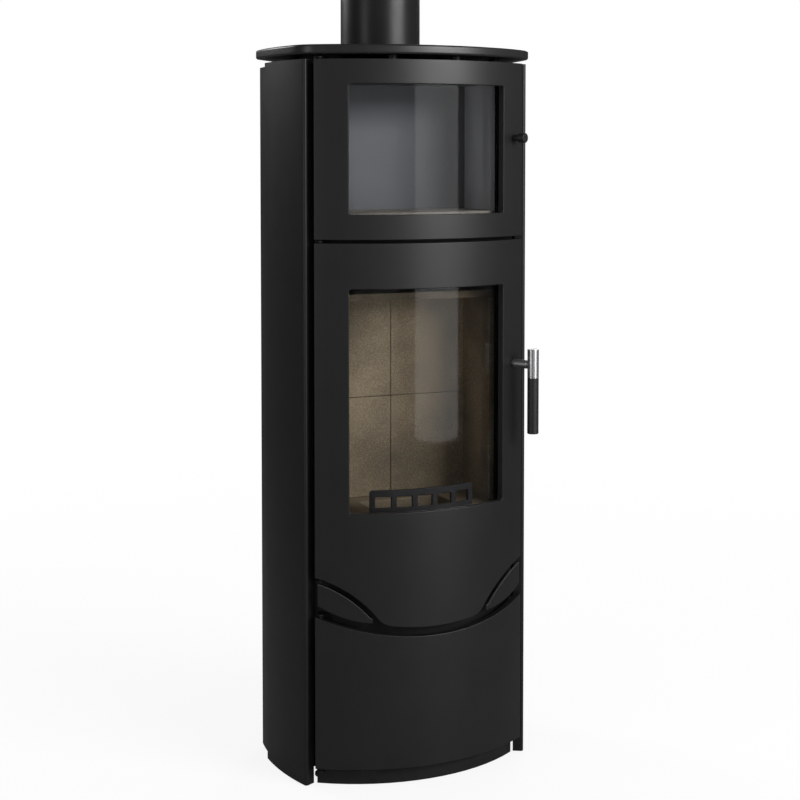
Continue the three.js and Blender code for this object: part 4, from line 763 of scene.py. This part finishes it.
def rect_loop(half, low, high, radius, grow=0.0, steps=6, clockwise=False):
    """A rounded rectangle, grown by grow on every side."""
    half += grow
    low -= grow
    high += grow
    radius = max(radius + grow, 0.0003)
    points = []
    for cx, cz, start in (
        (half - radius, low + radius, -90), (half - radius, high - radius, 0),
        (-half + radius, high - radius, 90), (-half + radius, low + radius, 180),
    ):
        for i in range(steps + 1):
            t = math.radians(start + 90 * i / steps)
            points.append((cx + radius * math.cos(t), cz + radius * math.sin(t)))
    return points[::-1] if clockwise else points


def sweep_mid(s):
    """Height of the lower edge's middle arc, s along the face."""
    return SWEEP_MID_Z + s * s / SWEEP_MID_CURVE


def sweep_arc(s, gap=0.0):
    """Height of the large arc at each side, or of one a gap inside it."""
    return SWEEP_Z + math.sqrt((SWEEP_R - gap) ** 2 - (s - SWEEP_S) ** 2)


def bent(start, knee, end, t):
    """A point on the curve from start to end that bends round a knee."""
    return tuple(
        (1 - t) ** 2 * a + 2 * t * (1 - t) * b + t * t * c for a, b, c in zip(start, knee, end)
    )


def fire_loop(inset):
    """The fire door's outline, drawn flat, with every edge pulled in by inset."""
    half = DOOR_HALF - inset
    right = [(SWEEP_MID_HALF * i / 10, sweep_mid(SWEEP_MID_HALF * i / 10) + inset) for i in range(11)]
    start = right[-1]
    end = (SWEEP_JOIN - inset * 0.8, sweep_arc(SWEEP_JOIN) + inset * 0.6)
    knee = (SWEEP_JOIN - SWEEP_KNEE_IN - inset * 0.5, sweep_mid(SWEEP_MID_HALF) + SWEEP_KNEE_UP + inset)
    right += [bent(start, knee, end, i / 8) for i in range(1, 8)]
    for i in range(25):
        s = end[0] + (half - end[0]) * i / 24
        right.append((s, sweep_arc(s, -inset)))
    right.append((half, fire_high.z - inset))
    return right + [(-s, z) for s, z in reversed(right[1:])]


def oven_loop(inset):
    """The oven door's outline, drawn flat."""
    half = DOOR_HALF - inset
    low = oven_low.z + inset
    high = oven_high.z - inset
    return [(-half, low), (half, low), (half, high), (-half, high)]


def panel_loop(inset):
    """The storage door's outline: straight sides and foot, and a shallow arc along the top."""
    half = DOOR_HALF - inset
    top = []
    for i in range(41):
        s = half - 2 * half * i / 40
        top.append((s, PANEL_TOP_MID + s * s / PANEL_TOP_CURVE - inset))
    return [(-half, panel_door_low.z + inset), (half, panel_door_low.z + inset)] + top


def fold_profile(back_inset):
    """(inset, depth) pairs of a folded sheet: rounded front fold, rim, and the pocket behind."""
    front = [(FOLD_R * (1 - math.sin(t)), FOLD_R * (1 - math.cos(t))) for t in quarter_turn(FOLD_STEPS)]
    return front + [
        (0.0, DOOR_DEEP - FOLD_LIP), (FOLD_LIP, DOOR_DEEP), (back_inset - FOLD_LIP, DOOR_DEEP),
        (back_inset, DOOR_DEEP - FOLD_LIP), (back_inset, DOOR_SKIN),
    ]


def folded_door(name, outline, window):
    """The rolled, folded sheet of one door."""
    stages = []
    for inset, deep in fold_profile(DOOR_RIM):
        loops = [[(s, deep, z) for s, z in outline(inset)]]
        if window:
            hole = rect_loop(WINDOW_HALF, *window, WINDOW_CORNER, inset, clockwise=True)
            loops.append([(s, deep, z) for s, z in hole])
        stages.append(loops)
    return roll_up(closed_plate(stages), name)


oven_sheet = folded_door("oven_door_sheet", oven_loop, OVEN_WINDOW)
add_piece("oven_door_sheet", oven_sheet, DOOR_PAINT, "oven_door", ["oven_door_frame"])
fire_sheet = folded_door("fire_door_sheet", fire_loop, FIRE_WINDOW)
add_piece("fire_door_sheet", fire_sheet, DOOR_PAINT, "fire_door", ["fire_door_frame"])
panel_sheet = folded_door("storage_door_sheet", panel_loop, None)
add_piece("storage_door_sheet", panel_sheet, DOOR_PAINT, "lower_door", ["storage_door"])

# ------------------------------------------------------------------------------------------------
# Air controls: a 4 mm steel leaf on each side, let in flush between the doors. The face is painted like the
# doors; the edge faces get a much lighter grey, a painted highlight along the edge.
LEAF_THICK = 0.004
LEAF_GAP = 0.010
LEAF_OUTER = 0.2127
LEAF_TIP = 0.1152
LEAF_TIP_Z = 0.2984
LEAF_TIP_RISE = 0.008
LEAF_OUTER_Z = 0.3285
LEAF_BOW = (0.1639, 0.3022)
LEAF_EDGE = 0.0006
# A much lighter grey for the leaf's edge faces: a painted highlight.
EDGE_PAINTED_HIGHLIGHT = stove_paint("edge_painted_highlight", 0.075, 0.34, 0.5)


def leaf_loop():
    """The right leaf's outline, counter-clockwise from its lower outer corner."""
    points = [(LEAF_OUTER, LEAF_OUTER_Z)]
    for i in range(21):
        s = LEAF_OUTER + (LEAF_TIP - LEAF_OUTER) * i / 20
        points.append((s, max(sweep_arc(s, LEAF_GAP), LEAF_TIP_Z + LEAF_TIP_RISE)))
    outer, tip = (LEAF_OUTER, LEAF_OUTER_Z), (LEAF_TIP, LEAF_TIP_Z)
    return points + [bent(outer, LEAF_BOW, tip, 1 - i / 18) for i in range(18)]


for word, side in (("right", 1), ("left", -1)):
    outline = [(side * s, z) for s, z in leaf_loop()][::side]
    stages = []
    for gap, deep in ((LEAF_EDGE, 0.0), (LEAF_EDGE * 0.3, LEAF_EDGE * 0.3), (0.0, LEAF_EDGE),
                      (0.0, LEAF_THICK - LEAF_EDGE), (LEAF_EDGE, LEAF_THICK)):
        stages.append([[(s, deep, z) for s, z in inset_loop(outline, gap)]])
    leaf = roll_up(closed_plate(stages), f"{word}_leaf")
    piece = add_piece(
        f"{word}_leaf", leaf, (DOOR_PAINT, EDGE_PAINTED_HIGHLIGHT), f"{word}_air_control",
        [f"{word}_air_leaf"],
    )
    # Faces that do not face out take the lighter paint, the painted highlight along the edge.
    for face in piece.data.polygons:
        out = Vector((face.center.x, face.center.y - arc_centre_y, 0.0)).normalized()
        face.material_index = 0 if abs(face.normal.dot(out)) > 0.9 else 1

# ------------------------------------------------------------------------------------------------
# Base and frame: the base plate on four levelling feet, the bowed plinth, the inner uprights, the top frame
# and the storage compartment's ceiling. The folded sheet is in matt black powder coat, the plinth in the
# casing's paint, and the feet are zinc-plated.
SHEET_EDGE = 0.0003
SMALL_EDGE = 0.0004
CAST_EDGE = 0.0010
STONE_EDGE = 0.0015
FOOT_PAD_R = 0.0158
FOOT_PAD_HIGH = 0.0065
FOOT_EDGE = 0.0012
FOOT_THREAD_R = 0.005
FOOT_THREAD_PITCH = 0.0015
FOOT_THREAD_DEEP = 0.0007
FOOT_NUT_R = 0.0088
FOOT_NUT = (0.0095, 0.0145)
NUT_EDGE = 0.0006
BLACK_STEEL = stove_paint("black_steel", 0.0045, 0.58, 0.22)
ZINC = stove_paint("zinc_plate", 0.16, 0.34, 0.7)


def coat(finish, *solids):
    """Gives carried-over solids their finish."""
    for solid in solids:
        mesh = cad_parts[solid].data
        mesh.materials.clear()
        mesh.materials.append(finish)


def welded_copy(solid):
    """A solid's own shape as one welded mesh, with its flat faces whole again."""
    shape = bmesh.new()
    shape.from_mesh(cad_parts[solid].data)
    bmesh.ops.remove_doubles(shape, verts=shape.verts, dist=1e-6)
    bmesh.ops.dissolve_limit(
        shape, angle_limit=math.radians(0.3), verts=shape.verts, edges=shape.edges,
    )
    return shape


def eased_part(solid, name, finish, body, edge, sharp=35.0):
    """A solid with its sharp edges rounded, which stands for the plain one."""
    piece = add_piece(name, welded_copy(solid), finish, body, [solid], sharp)
    soft = piece.modifiers.new("eased_edges", "BEVEL")
    soft.width = edge
    soft.segments = 2
    soft.limit_method = "ANGLE"
    soft.angle_limit = math.radians(40)
    piece.modifiers.move(len(piece.modifiers) - 1, 0)
    return piece


coat(BLACK_STEEL, "base_plate", "top_frame", "left_cheek", "right_cheek", "front_plate", "storage_ceiling")
eased_part("plinth", "plinth_strip", CASING_PAINT, "stove_body", SHEET_EDGE)
for i in range(1, 5):
    foot_low, foot_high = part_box(f"levelling_foot_{i}")
    foot_place = ((foot_low.x + foot_high.x) / 2, (foot_low.y + foot_high.y) / 2, 0.0)
    foot = bmesh.new()
    pad = [(0.0, 0.0), (FOOT_PAD_R - FOOT_EDGE, 0.0), (FOOT_PAD_R, FOOT_EDGE),
           (FOOT_PAD_R, FOOT_PAD_HIGH - FOOT_EDGE), (FOOT_PAD_R - FOOT_EDGE, FOOT_PAD_HIGH),
           (FOOT_THREAD_R, FOOT_PAD_HIGH)]
    thread_z = FOOT_PAD_HIGH
    while thread_z < foot_high.z - FOOT_THREAD_PITCH:
        pad.append((FOOT_THREAD_R - FOOT_THREAD_DEEP, thread_z + FOOT_THREAD_PITCH / 2))
        pad.append((FOOT_THREAD_R, thread_z + FOOT_THREAD_PITCH))
        thread_z += FOOT_THREAD_PITCH
    pad += [(FOOT_THREAD_R - FOOT_THREAD_DEEP, foot_high.z), (0.0, foot_high.z)]
    add_turned(foot, pad, foot_place, 36)
    nut_low, nut_high = FOOT_NUT
    add_turned(
        foot,
        [(FOOT_THREAD_R, nut_low), (FOOT_NUT_R - NUT_EDGE, nut_low), (FOOT_NUT_R, nut_low + NUT_EDGE),
         (FOOT_NUT_R, nut_high - NUT_EDGE), (FOOT_NUT_R - NUT_EDGE, nut_high), (FOOT_THREAD_R, nut_high),
         (FOOT_THREAD_R, nut_low)],
        foot_place, 6,
    )
    bmesh.ops.remove_doubles(foot, verts=foot.verts, dist=1e-6)
    add_piece(f"foot_{i}", outward(foot), ZINC, "stove_body", [f"levelling_foot_{i}"])

# ------------------------------------------------------------------------------------------------
# Firebox: a welded body of 4 mm hot-rolled steel, with its flue collar on top and a steel divider
# behind the lining. The bare steel is blue-grey with brown heat tints and a dull mill scale.
def bare_steel(name, low, high, rough, metal, cloud, streak, streak_size, pit=0.0):
    """Steel between two tones: slow clouds over fine streaks, with a grain along them."""
    finish, tree, surface = new_finish(name)
    lines = grain(tree, streak_size, 3.0, streak)
    blend = node(tree, "ShaderNodeMix", {0: 0.45, 2: grain(tree, cloud, 4.0), 3: lines})
    give(tree, surface, {
        "Base Color": mix_of(tree, low, high, spread(tree, blend.outputs[0], 0.0, 1.0)),
        "Roughness": spread(tree, lines, rough - 0.06, rough + 0.06), "Metallic": metal,
    })
    if pit:
        bumped(tree, surface, grain(tree, pit * 6, 4.0), pit, 0.7)
    else:
        bumped(tree, surface, lines, 0.00003, 0.5)
    return finish


FIREBOX_STEEL = bare_steel(
    "firebox_steel", (0.020, 0.022, 0.027), (0.058, 0.046, 0.038), 0.52, 0.55, 0.12, (1, 1, 1), 0.004,
)
coat(FIREBOX_STEEL, "firebox_shell", "flue_collar", "flue_divider", "hearth_plate")

# ------------------------------------------------------------------------------------------------
# Fire lining: pressed vermiculite boards, buff with golden flakes and smoke stains, loose on each
# other with tight joints. The rear wall is four boards. Above hangs the baffle of the same board.
BOARD_EDGE = 0.0016
BOARD_JOINT = 0.0008
FLAKES_PER_METRE = 420.0


def vermiculite():
    """Buff board: coarse flakes in a paler binder, browner and darker in slow smoke clouds."""
    finish, tree, surface = new_finish("vermiculite")
    place = node(tree, "ShaderNodeTexCoord").outputs["Object"]
    flakes = node(tree, "ShaderNodeTexVoronoi", {"Vector": place, "Scale": FLAKES_PER_METRE})
    flake = spread(tree, flakes.outputs["Distance"], 0.0, 1.0, 0.1, 0.8)
    board = mix_of(tree, (0.20, 0.15, 0.09), (0.36, 0.29, 0.19), flake)
    smoke = spread(tree, grain(tree, 0.16, 3.0), 0.0, 0.75, 0.35, 0.75)
    tone = mix_of(tree, board, (0.050, 0.042, 0.034), smoke)
    give(tree, surface, {"Base Color": tone, "Roughness": 0.92, "Specular IOR Level": 0.15})
    bumped(tree, surface, flakes.outputs["Distance"], 0.0006, 0.8)
    return finish


def add_board(shape, low, high, edge):
    """Adds a board with chamfered edges to a bmesh."""
    board = bmesh.new()
    add_box(board, low, high)
    bmesh.ops.bevel(board, geom=board.edges[:], offset=edge, segments=2, affect="EDGES", profile=0.6)
    shape.from_mesh(mesh_of(board, "board"))


VERMICULITE = vermiculite()
for solid, name in (
    ("left_fire_brick", "left_board"), ("right_fire_brick", "right_board"),
    ("floor_bricks", "hearth_boards"), ("baffle", "baffle_board"),
):
    eased_part(solid, name, VERMICULITE, "stove_body", BOARD_EDGE)
wall_low, wall_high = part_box("rear_fire_brick")
wall = bmesh.new()
wall_middle_z = (wall_low.z + wall_high.z) / 2
half_joint = BOARD_JOINT / 2
for x0, x1 in ((wall_low.x, -half_joint), (half_joint, wall_high.x)):
    for z0, z1 in ((wall_low.z, wall_middle_z - half_joint), (wall_middle_z + half_joint, wall_high.z)):
        add_board(wall, (x0, wall_low.y, z0), (x1, wall_high.y, z1), BOARD_EDGE)
add_piece("rear_boards", wall, VERMICULITE, "stove_body", ["rear_fire_brick"])

# ------------------------------------------------------------------------------------------------
# Grate and log guard: sand-cast iron, dark grey with a pitted skin and rounded edges. The ash pan
# below is folded from galvanised sheet, dulled by ash.
CAST_IRON = bare_steel(
    "cast_iron", (0.009, 0.009, 0.010), (0.022, 0.021, 0.020), 0.64, 0.25, 0.03, (1, 1, 1), 0.002, 0.0004,
)
PAN_STEEL = bare_steel(
    "pan_steel", (0.16, 0.16, 0.17), (0.24, 0.24, 0.245), 0.46, 0.6, 0.02, (1, 1, 1), 0.01,
)
eased_part("grate", "grate_casting", CAST_IRON, "stove_body", CAST_EDGE)
eased_part("log_guard", "log_guard_casting", CAST_IRON, "stove_body", CAST_EDGE)
eased_part("ash_pan", "ash_drawer", PAN_STEEL, "stove_body", SHEET_EDGE)

# ------------------------------------------------------------------------------------------------
# Baking oven: a box of brushed stainless steel with a baking stone on its floor. The steel comes in two
# copies: the back is painted darker, as painted shade, and the side walls far lighter, as painted light.
# The back's dark tones are painted shade; the sides' pale tones below are painted light on the same steel.
OVEN_BACK_STEEL_PAINTED_SHADE = bare_steel(
    "oven_back_steel_painted_shade", (0.086, 0.088, 0.092), (0.110, 0.112, 0.116), 0.54, 0.55, 0.15, (0.05, 1, 1), 0.0008,
)
OVEN_SIDE_STEEL_PAINTED_LIGHT = bare_steel(
    "oven_side_steel_painted_light", (0.66, 0.665, 0.675), (0.74, 0.745, 0.755), 0.50, 0.25, 0.15, (1, 0.05, 1), 0.0008,
)


def baking_stone():
    """Pale fired clay: fine speckles and a few dark grains in a dusty, open surface."""
    finish, tree, surface = new_finish("baking_stone")
    base = mix_of(tree, (0.26, 0.235, 0.195), (0.36, 0.33, 0.28), spread(tree, grain(tree, 0.004, 4.0), 0, 1))
    speck = spread(tree, grain(tree, 0.0022, 1.0), 0.0, 1.0, 0.66, 0.72)
    tone = mix_of(tree, base, (0.09, 0.075, 0.06), speck)
    give(tree, surface, {"Base Color": tone, "Roughness": 0.88, "Specular IOR Level": 0.2})
    bumped(tree, surface, grain(tree, 0.0012, 3.0), 0.0003, 0.7)
    return finish


oven = add_piece(
    "oven_liner", welded_copy("oven_box"), (OVEN_BACK_STEEL_PAINTED_SHADE, OVEN_SIDE_STEEL_PAINTED_LIGHT), "stove_body",
    ["oven_box"],
)
# Faces that look sideways take the lighter copy, the painted light of the side walls.
for face in oven.data.polygons:
    face.material_index = 1 if abs(face.normal.x) > 0.7 else 0
eased_part("baking_stone", "baking_slab", baking_stone(), "stove_body", STONE_EDGE)

# ------------------------------------------------------------------------------------------------
# Glazing: a 4 mm ceramic glass pane rolled to the door's radius, faintly grey, clamped between the
# black liner and two steel rails. Its edges are ground and its corners rounded.
PANE_LAP = 0.007
PANE_CORNER = 0.004
PANE_DEEP = 0.0123
PANE_THICK = 0.004
PANE_GRIND = 0.0005
PANE_TINT = (0.87, 0.875, 0.885, 1.0)
PANE_IOR = 1.24                     # below that of glass, so that the lamps glare less in the pane
glass, tree, surface = new_finish("door_glass")
tree.nodes.remove(surface)
clear = node(tree, "ShaderNodeBsdfTransparent", {"Color": PANE_TINT})
shine = node(tree, "ShaderNodeBsdfGlossy", {"Roughness": 0.03})
bend = node(tree, "ShaderNodeFresnel", {"IOR": PANE_IOR})
pane_mix = node(tree, "ShaderNodeMixShader", {
    "Fac": bend.outputs["Fac"], 1: clear.outputs["BSDF"], 2: shine.outputs["BSDF"],
})
tree.links.new(pane_mix.outputs["Shader"], tree.nodes["Material Output"].inputs["Surface"])
PANE_SECTION = (
    (PANE_GRIND, 0.0), (0.0, PANE_GRIND), (0.0, PANE_THICK - PANE_GRIND), (PANE_GRIND, PANE_THICK),
)
for prefix, window in (("oven", OVEN_WINDOW), ("fire", FIRE_WINDOW)):
    stages = []
    for gap, deep in PANE_SECTION:
        loop = rect_loop(WINDOW_HALF, *window, PANE_CORNER, PANE_LAP - gap)
        stages.append([[(s, PANE_DEEP + deep, z) for s, z in loop]])
    pane = roll_up(closed_plate(stages), f"{prefix}_pane")
    add_piece(f"{prefix}_pane", pane, glass, f"{prefix}_door", [f"{prefix}_door_glass"])
    coat(BLACK_STEEL, f"{prefix}_door_liner", f"{prefix}_glass_rail_left", f"{prefix}_glass_rail_right")

# ------------------------------------------------------------------------------------------------
# Rope seals: laid glass-fibre rope, three strands twisted together and dyed grey-black, glued into
# the back of each glazed door in one closed loop that meets the front plate.
ROPE_R = 0.0044
ROPE_IN = 0.1756
ROPE_DEEP = 0.0197
ROPE_CORNER = 0.007
ROPE_STEP = 0.003
ROPE_TWIST = math.radians(24)
ROPE_STRANDS = 3
ROPE_HOLLOW = 0.62                  # depth of the grooves and rounding of the strands, in radii
ROPE_ROUNDING = 0.45


def rope_fibre():
    """Grey-black glass yarn: fine lint over the strands, no shine."""
    finish, tree, surface = new_finish("rope_fibre")
    lint = grain(tree, 0.0006, 3.0)
    tone = mix_of(tree, (0.020, 0.020, 0.021), (0.062, 0.060, 0.058), spread(tree, lint, 0, 1))
    give(tree, surface, {
        "Base Color": tone, "Roughness": 0.95, "Specular IOR Level": 0.1, "Sheen Weight": 0.25,
    })
    bumped(tree, surface, lint, 0.0004, 0.8)
    return finish


def rope_tree():
    """Sweeps a three-lobed section along a path and twists it step by step."""
    tree, entry, leave = new_tree("laid_rope", (
        ("Radius", "NodeSocketFloat"), ("Step", "NodeSocketFloat"), ("Twist", "NodeSocketFloat"),
        ("Finish", "NodeSocketMaterial"),
    ))
    given = entry.outputs
    path = node(tree, "GeometryNodeMeshToCurve", {"Mesh": given["Geometry"]}).outputs["Curve"]
    evenly = node(
        tree, "GeometryNodeResampleCurve", {"Curve": path, "Length": given["Step"]}, mode="LENGTH",
    ).outputs["Curve"]
    count = node(tree, "GeometryNodeInputIndex").outputs["Index"]
    turn = node(tree, "ShaderNodeMath", {0: count, 1: given["Twist"]}, operation="MULTIPLY").outputs[0]
    tilt = node(tree, "GeometryNodeSetCurveTilt", {"Curve": evenly, "Tilt": turn}).outputs["Curve"]
    inner, rounding = [
        node(tree, "ShaderNodeMath", {0: given["Radius"], 1: share}, operation="MULTIPLY").outputs[0]
        for share in (ROPE_HOLLOW, ROPE_ROUNDING)
    ]
    lobes = node(tree, "GeometryNodeCurveStar", {
        "Points": ROPE_STRANDS, "Outer Radius": given["Radius"], "Inner Radius": inner,
    }).outputs["Curve"]
    soften = node(
        tree, "GeometryNodeFilletCurve", {"Curve": lobes, "Radius": rounding, "Count": 3}, mode="POLY",
    ).outputs["Curve"]
    sweep = node(tree, "GeometryNodeCurveToMesh", {"Curve": tilt, "Profile Curve": soften})
    end_tree(tree, entry, leave, sweep.outputs["Mesh"])
    return tree


ROPE = rope_fibre()
LAID_ROPE = rope_tree()
for prefix in ("oven", "fire"):
    seal_low, seal_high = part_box(f"{prefix}_door_seal")
    corners = rect_loop(ROPE_IN, seal_low.z + ROPE_R, seal_high.z - ROPE_R, ROPE_CORNER)
    route = []
    for start, end in zip(corners, corners[1:] + corners[:1]):
        parts = max(1, round(math.dist(start, end) / ROPE_STEP))
        route += [
            (start[0] + (end[0] - start[0]) * i / parts, start[1] + (end[1] - start[1]) * i / parts)
            for i in range(parts)
        ]
    path_mesh = bpy.data.meshes.new(f"{prefix}_rope_path")
    count = len(route)
    path_mesh.from_pydata(
        [rolled(s, ROPE_DEEP, z) for s, z in route], [(i, (i + 1) % count) for i in range(count)], [],
    )
    sizes = {"Radius": ROPE_R, "Step": ROPE_STEP, "Twist": ROPE_TWIST, "Finish": ROPE}
    rope = grown(path_mesh, LAID_ROPE, sizes)
    add_piece(f"{prefix}_rope", rope, (), f"{prefix}_door", [f"{prefix}_door_seal"], 80.0)

# ------------------------------------------------------------------------------------------------
# Fire door's handle: a turned stem of satin stainless steel carries an upright bar, half brushed
# steel sleeve, half black heat-proof grip. Inside, the stem ends in a steel latch cam.
HANDLE_Z = 0.7436
GRIP_X = 0.1800
HANDLE_STAND_OFF = 0.043
HANDLE_R = 0.0104
STEM_R = 0.008
STEM_END = 0.0311
SPINDLE_R = 0.005
SPINDLE_TIP_R = 0.004
SPINDLE_STEP = 0.0165
STEM_EDGE = 0.0005
STEM_END_EDGE = 0.0006
FACE_GAP = 0.0004                   # between the door's face and what turns or stands on it
BAR_EDGE = 0.0010
GRIP_EDGE = BAR_EDGE * 1.6
BAR_SEAM_EDGE = 0.0003
grip_turn = math.asin(GRIP_X / FRONT_RADIUS)
grip_out = Vector((math.sin(grip_turn), -math.cos(grip_turn), 0.0))
turn_out = Vector((0.0, 0.0, 1.0)).rotation_difference(grip_out).to_matrix()
SATIN_STEEL = bare_steel(
    "satin_steel", (0.50, 0.505, 0.515), (0.60, 0.605, 0.615), 0.30, 1.0, 0.05, (1, 1, 14), 0.004,
)


def grip_resin():
    """Black moulded resin with a faint even grain."""
    finish, tree, surface = new_finish("grip_resin")
    tone = mix_of(tree, (0.0065, 0.0065, 0.0070), (0.0095, 0.0095, 0.0100), grain(tree, 0.008, 3.0))
    rough = spread(tree, grain(tree, 0.001, 2.0), 0.40, 0.50)
    give(tree, surface, {"Base Color": tone, "Roughness": rough, "Specular IOR Level": 0.42})
    bumped(tree, surface, grain(tree, 0.0007, 2.0), 0.00005, 0.8)
    return finish


def rounded_end(radius, at, edge, way):
    """Profile points of a bar's end, rounded by edge. way is 1 for the upper end, -1 for the lower."""
    points = [
        (radius - edge + edge * math.cos(t), at - way * edge * (1 - math.sin(t))) for t in quarter_turn(4)
    ]
    return points if way > 0 else points[::-1]


def add_bar(radius, low, high, edge_low, edge_high, name, finish, body, solid, place):
    """A turned upright bar with eased ends."""
    bar = bmesh.new()
    profile = (
        [(0.0, low)] + rounded_end(radius, low, edge_low, -1) + rounded_end(radius, high, edge_high, 1)
        + [(0.0, high)]
    )
    add_turned(bar, profile, place, 64)
    return add_piece(name, outward(bar), finish, body, [solid])


GRIP_RESIN = grip_resin()
bar_place = rolled(FRONT_RADIUS * grip_turn, -HANDLE_STAND_OFF, 0.0)
sleeve_low, sleeve_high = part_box("handle_sleeve")
grip_low, grip_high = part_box("handle_grip")
add_bar(
    HANDLE_R, sleeve_low.z, sleeve_high.z, BAR_SEAM_EDGE, BAR_EDGE, "handle_tube", SATIN_STEEL,
    "fire_handle", "handle_sleeve", bar_place,
)
add_bar(
    HANDLE_R, grip_low.z, grip_high.z, GRIP_EDGE, BAR_SEAM_EDGE, "handle_hold", GRIP_RESIN,
    "fire_handle", "handle_grip", bar_place,
)
stem = bmesh.new()
inner_low, inner_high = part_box("handle_stem")
stem_inner = -(FRONT_RADIUS - math.hypot(inner_low.x, arc_centre_y - inner_high.y))
stem_profile = [
    (0.0, stem_inner), (SPINDLE_TIP_R, stem_inner), (SPINDLE_TIP_R, -SPINDLE_STEP),
    (SPINDLE_R, -SPINDLE_STEP + SHEET_EDGE), (SPINDLE_R, FACE_GAP), (STEM_R - STEM_EDGE, FACE_GAP),
    (STEM_R, FACE_GAP + STEM_EDGE), (STEM_R, STEM_END - STEM_END_EDGE),
    (STEM_R - STEM_END_EDGE, STEM_END),
    (SPINDLE_R, STEM_END), (SPINDLE_R, HANDLE_STAND_OFF),
    (0.0, HANDLE_STAND_OFF),
]
add_turned(stem, stem_profile, rolled(FRONT_RADIUS * grip_turn, 0.0, HANDLE_Z), 56, turn_out)
add_piece("handle_stem_turned", outward(stem), SATIN_STEEL, "fire_handle", ["handle_stem"])
eased_part("latch_cam", "latch_cam_plate", SATIN_STEEL, "fire_handle", SMALL_EDGE)

# ------------------------------------------------------------------------------------------------
# Oven door's knob: turned black resin with a narrower neck, screwed on from inside the door.
KNOB_R = 0.009
KNOB_NECK_R = 0.006
KNOB_FACE = 0.025
KNOB_LENGTH = 0.013
KNOB_EDGE = 0.0012
KNOB_FLARE = 0.0008
knob_low, knob_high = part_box("oven_knob")
knob_z = (knob_low.z + knob_high.z) / 2
knob_back = KNOB_FACE - KNOB_LENGTH
knob = bmesh.new()
knob_profile = (
    [(0.0, FACE_GAP), (KNOB_NECK_R, FACE_GAP), (KNOB_NECK_R, knob_back - KNOB_FLARE),
     (KNOB_NECK_R + KNOB_FLARE, knob_back)]
    + rounded_end(KNOB_R, knob_back, KNOB_EDGE, -1) + rounded_end(KNOB_R, KNOB_FACE, KNOB_EDGE, 1)
    + [(0.0, KNOB_FACE)]
)
add_turned(knob, knob_profile, rolled(FRONT_RADIUS * grip_turn, 0.0, knob_z), 56, turn_out)
add_piece("knob_turned", outward(knob), GRIP_RESIN, "oven_door", ["oven_knob"])
coat(SATIN_STEEL, "oven_knob_screw", "right_air_rod", "left_air_rod")

# ------------------------------------------------------------------------------------------------
# Hinge brackets with riveted pins, the latch keeper and two magnet catches: small pressed and
# machined steel parts in matt black, their edges tumbled smooth.
for solid, name in (
    ("oven_door_hinge_bracket", "oven_hinge"), ("middle_hinge_bracket", "middle_hinge"),
    ("fire_door_hinge_bracket", "fire_hinge"), ("storage_hinge_bracket", "storage_hinge"),
    ("latch_keeper", "latch_catch_plate"), ("oven_catch", "oven_magnet"), ("storage_catch", "storage_magnet"),
):
    eased_part(solid, name, BLACK_STEEL, "stove_body", SMALL_EDGE)
